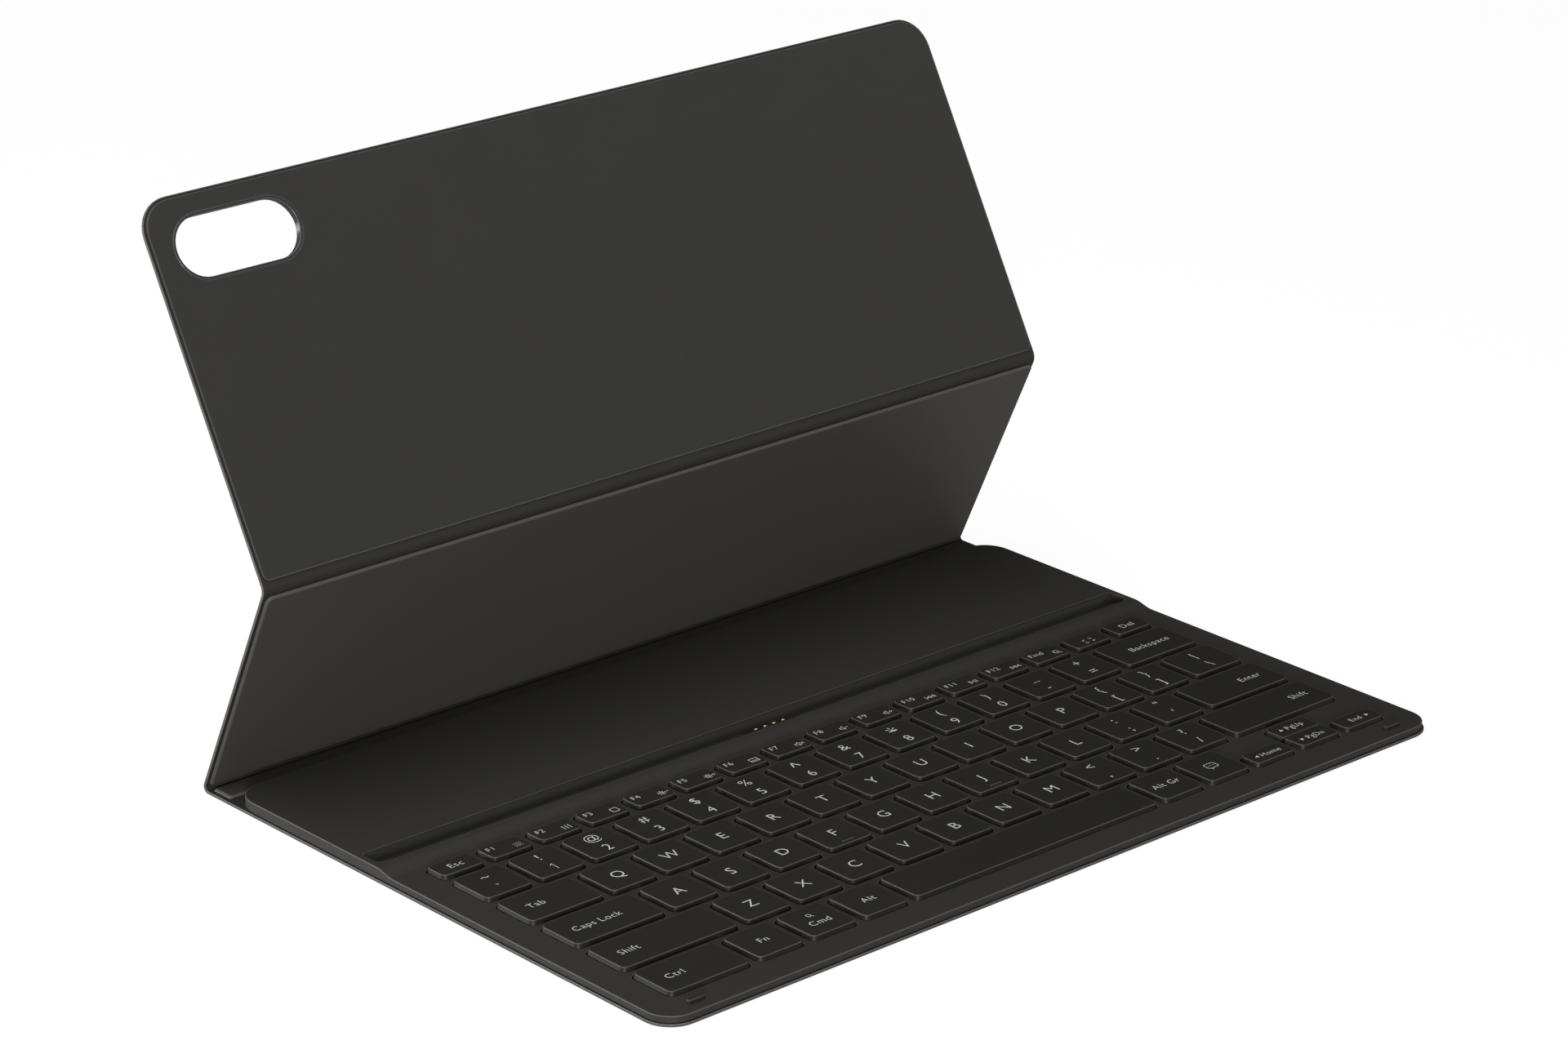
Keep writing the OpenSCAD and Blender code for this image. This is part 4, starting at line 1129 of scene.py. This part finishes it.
def makePenPocket():
    # a smooth ridge with a blind bore; its mouth faces the camera window
    count, foot = penPocket["across"], penPocket["foot"] * mm
    height = (2 * (penPocket["bore"] + penPocket["wall"]) + penPocket["crown"]) * mm
    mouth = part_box("pen_pocket")[0].x
    end = mouth + penPocket["length"] * mm
    boreZ = -halfSkin - (penPocket["wall"] + penPocket["bore"]) * mm
    bm = bmesh.new()
    highlightAndWearMask = bm.verts.layers.float.new("edge")
    lip, fall = penPocket["lip"] * mm, penPocket["fall"] * mm

    def ridge(x, share, value=0.0):
        row = []
        for i in range(count + 1):
            t = 2 * i / count - 1
            z = -halfSkin - share * height * math.cos(math.pi / 2 * t) ** 2
            row.append(bm.verts.new((x, windowUp + foot * t * (0.6 + 0.4 * share), z)))
            row[-1][highlightAndWearMask] = value
        return row

    # the lip round the mouth is marked for a painted highlight
    rows = [ridge(mouth, 1 - lip / height, 1.0), ridge(mouth + lip * 0.3, 1 - 0.3 * lip / height, 1.0),
            ridge(mouth + lip, 1.0, 1.0), ridge(mouth + 1.6 * lip, 1.0)]
    rows += [ridge(mouth + (end - mouth - fall) * i / 12, 1.0) for i in range(1, 12)]
    rows += [ridge(end - fall * math.cos(math.pi / 2 * i / 9), math.cos(math.pi / 2 * i / 9) ** 0.8
                   if i < 9 else 0.0) for i in range(0, 10)]
    rows[-10:] = [row for row in rows[-10:]]
    for a, b in zip(rows, rows[1:]):
        for i in range(count):
            bm.faces.new((a[i], a[i + 1], b[i + 1], b[i]))
    steps, radius = penPocket["boreSteps"], penPocket["bore"] * mm
    circles = []
    for x, r, value in ((mouth, radius + lip * 0.6, 1.0), (mouth + lip * 0.2, radius + lip * 0.2, 1.0),
                        (mouth + lip * 0.7, radius, 0.0), (end - penPocket["blind"] * mm, radius, 0.0)):
        circle = [bm.verts.new((x, windowUp + r * math.cos(2 * math.pi * i / steps),
                                boreZ + r * math.sin(2 * math.pi * i / steps))) for i in range(steps)]
        for vert in circle:
            vert[highlightAndWearMask] = value
        circles.append(circle)
    for a, b in zip(circles, circles[1:]):
        for i in range(steps):
            bm.faces.new((a[i], b[i], b[(i + 1) % steps], a[(i + 1) % steps]))
    bm.faces.new(circles[-1])
    loops = [[Vector((v.co.y, v.co.z, 0)) for v in rows[0]], [Vector((v.co.y, v.co.z, 0)) for v in circles[0]]]
    verts = rows[0] + circles[0]
    for corners in tessellate_polygon(loops):
        bm.faces.new([verts[i] for i in corners])
    under = [row[0] for row in rows] + rows[-1][1:] + [row[-1] for row in rows[-2::-1]]
    bm.faces.new(under)
    bmesh.ops.remove_doubles(bm, verts=bm.verts[:], dist=1e-7)
    bmesh.ops.recalc_face_normals(bm, faces=bm.faces[:])
    piece = keepPiece("penPocketSleeve", bm, finishes["coverSkin"], ["pen_pocket"],
                      panelMatrix(foldHinge, upperLean))
    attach(piece, "upper_panel")


# ---- Dock ----

dock = {"edge": 0.08, "ledge": 0.5, "ledgeDrop": 0.4, "ramp": 4.893, "fall": 2.3, "wall": 1.503,
        "soften": 0.18}


def dockHeights():
    # (y, z) of the dock from its front ledge to its rear rim, with softened corners
    low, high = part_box("dock_insert")
    top, soft = high.z, dock["soften"] * mm
    ledge = top - dock["ledgeDrop"] * mm
    corners = [Vector((low.y - 1 * mm, ledge)), Vector((low.y + dock["ledge"] * mm, ledge))]
    corners.append(corners[-1] + Vector((dock["ramp"], -dock["fall"])) * mm)
    corners.append(Vector((corners[-1].x + dock["wall"] * mm, top)))
    corners.append(Vector((high.y + 1 * mm, top)))
    line = [corners[0]]
    for before, here, after in zip(corners, corners[1:], corners[2:]):
        a = here + (before - here).normalized() * soft
        b = here + (after - here).normalized() * soft
        line += [a.lerp(here, t).lerp(here.lerp(b, t), t) for t in (0, 0.25, 0.5, 0.75, 1)]
    return line + [corners[-1]]


def makeDock():
    low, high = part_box("dock_insert")
    line = dockHeights()
    flat = high.z
    bm = plate(((low.x, low.y, high.x, high.y), dockRadii(), wall(low.z, flat, dock["edge"] * mm), None))
    cutAcross(bm, [point.x for point in line[1:-1]])

    def heightAt(y):
        for a, b in zip(line, line[1:]):
            if a.x <= y <= b.x:
                return a.y + (b.y - a.y) * (y - a.x) / max(b.x - a.x, 1e-9)
        return flat

    for vert in bm.verts:
        if vert.co.z > low.z + 0.3 * mm:
            vert.co.z = max(vert.co.z + heightAt(vert.co.y) - flat, low.z + 0.1 * mm)
    piece = keepPiece("dockInsert", bm, finishes["dockPlastic"], ["dock_insert"])
    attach(piece, "base")


pins = {"count": 4, "pitch": 3.4, "radius": 0.75, "rise": 0.6, "depth": 0.9}


def pinForm():
    # a turned pin with a domed head, its foot at z = 0
    radius, total = pins["radius"] * mm, (pins["rise"] + pins["depth"]) * mm
    dome = [(radius * math.cos(math.pi / 2 * i / 6), total - radius * 0.45 * (1 - math.sin(math.pi / 2 * i / 6)))
            for i in range(6)]
    bm = bmesh.new()
    rings = []
    for r, z in [(radius, 0.0)] + dome:
        rings.append([bm.verts.new((r * math.cos(2 * math.pi * i / 24), r * math.sin(2 * math.pi * i / 24), z))
                      for i in range(24)])
    for low, high in zip(rings, rings[1:]):
        for i in range(24):
            bm.faces.new((low[i], low[(i + 1) % 24], high[(i + 1) % 24], high[i]))
    bm.faces.new(rings[0][::-1])
    tip = bm.verts.new((0, 0, total))
    for i in range(24):
        bm.faces.new((rings[-1][i], rings[-1][(i + 1) % 24], tip))
    mesh = bpy.data.meshes.new("pinForm")
    bm.to_mesh(mesh)
    bm.free()
    mesh.polygons.foreach_set("use_smooth", [True] * len(mesh.polygons))
    form = bpy.data.objects.new("pinForm", mesh)
    bpy.context.scene.collection.objects.link(form)
    return form


def pinTree():
    # a row of pins, centred, along x
    tree = bpy.data.node_groups.new("pinRow", "GeometryNodeTree")
    new = tree.interface.new_socket
    new("Geometry", in_out="INPUT", socket_type="NodeSocketGeometry")
    new("Pin", in_out="INPUT", socket_type="NodeSocketObject")
    new("Count", in_out="INPUT", socket_type="NodeSocketInt").default_value = 4
    new("Pitch", in_out="INPUT", socket_type="NodeSocketFloat").default_value = 0.0034
    new("Finish", in_out="INPUT", socket_type="NodeSocketMaterial")
    new("Row", in_out="OUTPUT", socket_type="NodeSocketGeometry")
    nodes, links = tree.nodes, tree.links
    given, out = nodes.new("NodeGroupInput"), nodes.new("NodeGroupOutput")
    line = nodes.new("GeometryNodeMeshLine")
    step = nodes.new("ShaderNodeCombineXYZ")
    less = nodes.new("ShaderNodeMath")
    less.operation = "SUBTRACT"
    less.inputs[1].default_value = 1
    half = nodes.new("ShaderNodeMath")
    half.operation = "MULTIPLY"
    start = nodes.new("ShaderNodeMath")
    start.operation = "MULTIPLY"
    start.inputs[1].default_value = -0.5
    origin = nodes.new("ShaderNodeCombineXYZ")
    form = nodes.new("GeometryNodeObjectInfo")
    place = nodes.new("GeometryNodeInstanceOnPoints")
    realize = nodes.new("GeometryNodeRealizeInstances")
    paint = nodes.new("GeometryNodeSetMaterial")
    links.new(given.outputs["Count"], line.inputs["Count"])
    links.new(given.outputs["Pitch"], step.inputs["X"])
    links.new(step.outputs[0], line.inputs["Offset"])
    links.new(given.outputs["Count"], less.inputs[0])
    links.new(less.outputs[0], half.inputs[0])
    links.new(given.outputs["Pitch"], half.inputs[1])
    links.new(half.outputs[0], start.inputs[0])
    links.new(start.outputs[0], origin.inputs["X"])
    links.new(origin.outputs[0], line.inputs["Start Location"])
    links.new(given.outputs["Pin"], form.inputs["Object"])
    links.new(line.outputs["Mesh"], place.inputs["Points"])
    links.new(form.outputs["Geometry"], place.inputs["Instance"])
    links.new(place.outputs["Instances"], realize.inputs["Geometry"])
    links.new(realize.outputs["Geometry"], paint.inputs["Geometry"])
    links.new(given.outputs["Finish"], paint.inputs["Material"])
    links.new(paint.outputs["Geometry"], out.inputs["Row"])
    return tree


def makePins():
    form = pinForm()
    source = bpy.data.objects.new("contactPins", bpy.data.meshes.new("contactPins"))
    bpy.context.scene.collection.objects.link(source)
    row = plainMesh("contactPins", source, pinTree(), {"Pin": form, "Count": pins["count"],
                                                      "Pitch": pins["pitch"] * mm,
                                                      "Finish": finishes["goldPins"]})
    ramp = mounts["contact_pins"]
    normal = Vector(ramp["axis"])
    low = Vector(ramp["pos_m"]) - normal * (pins["rise"] + pins["depth"]) * mm
    row.data.transform(Matrix.Translation(low) @ Matrix.Rotation(-math.atan2(normal.y, normal.z), 4, "X"))
    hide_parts("contact_pins")
    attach(row, "base")
    bpy.data.objects.remove(form)


bumper = {"edge": 0.35, "length": 5.8, "plainLength": 6.2}


def makeBumpers():
    low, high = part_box("front_bumpers")
    length = bumper["length"] * mm
    for name, side in (("bumperLeft", -1), ("bumperRight", 1)):
        middle = side * ((high.x - low.x) / 2 - bumper["plainLength"] / 2 * mm)
        rect = (middle - length / 2, low.y, middle + length / 2, high.y)
        bm = plate((rect, [(high.y - low.y) / 2 * 0.999] * 4, wall(low.z, high.z, bumper["edge"] * mm), 0))
        piece = keepPiece(name, bm, finishes["bumperRubber"], ["front_bumpers"])
        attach(piece, "base")


# ---- CAD nodes that keep their own shape ----

keptNodes = {
    "support_plate": "plateSteel",
    "key_membrane": "switchFilm",
    "rubber_domes": "domeRubber",
    "scissor_frames": "scissorPlastic",
    "dock_magnets": "nickel",
    "controller_board": "laminate",
    "dock_flex": "switchFilm",
    "contact_block": "contactPlastic",
    "lower_board": "stiffener",
    "upper_board": "stiffener",
    "panel_magnets": "nickel",
}


def paintKeptNodes():
    for node, name in keptNodes.items():
        materials = frame["nodes"][node].data.materials
        materials.clear()
        materials.append(finishes[name])


bpy.context.scene.view_settings.view_transform = "Standard"
addCamera()
roomLight()
addFloor()
for lampName, lampValues in studio["lamps"].items():
    addLamp(lampName, *lampValues)
print("stage: camera, lamps and floor")
paintKeptNodes()
makeDeck()
print("stage: deck")
makeCaps()
makeHomingBars()
print("stage: key caps")
makeLegends()
print("stage: legends")
makeSkin()
makeLowerLining()
makeUpperLining()
makeSpinePlate()
makeCameraRim()
makePenPocket()
print("stage: cover")
makeDock()
makePins()
makeBumpers()
print("stage: dock and bumpers")
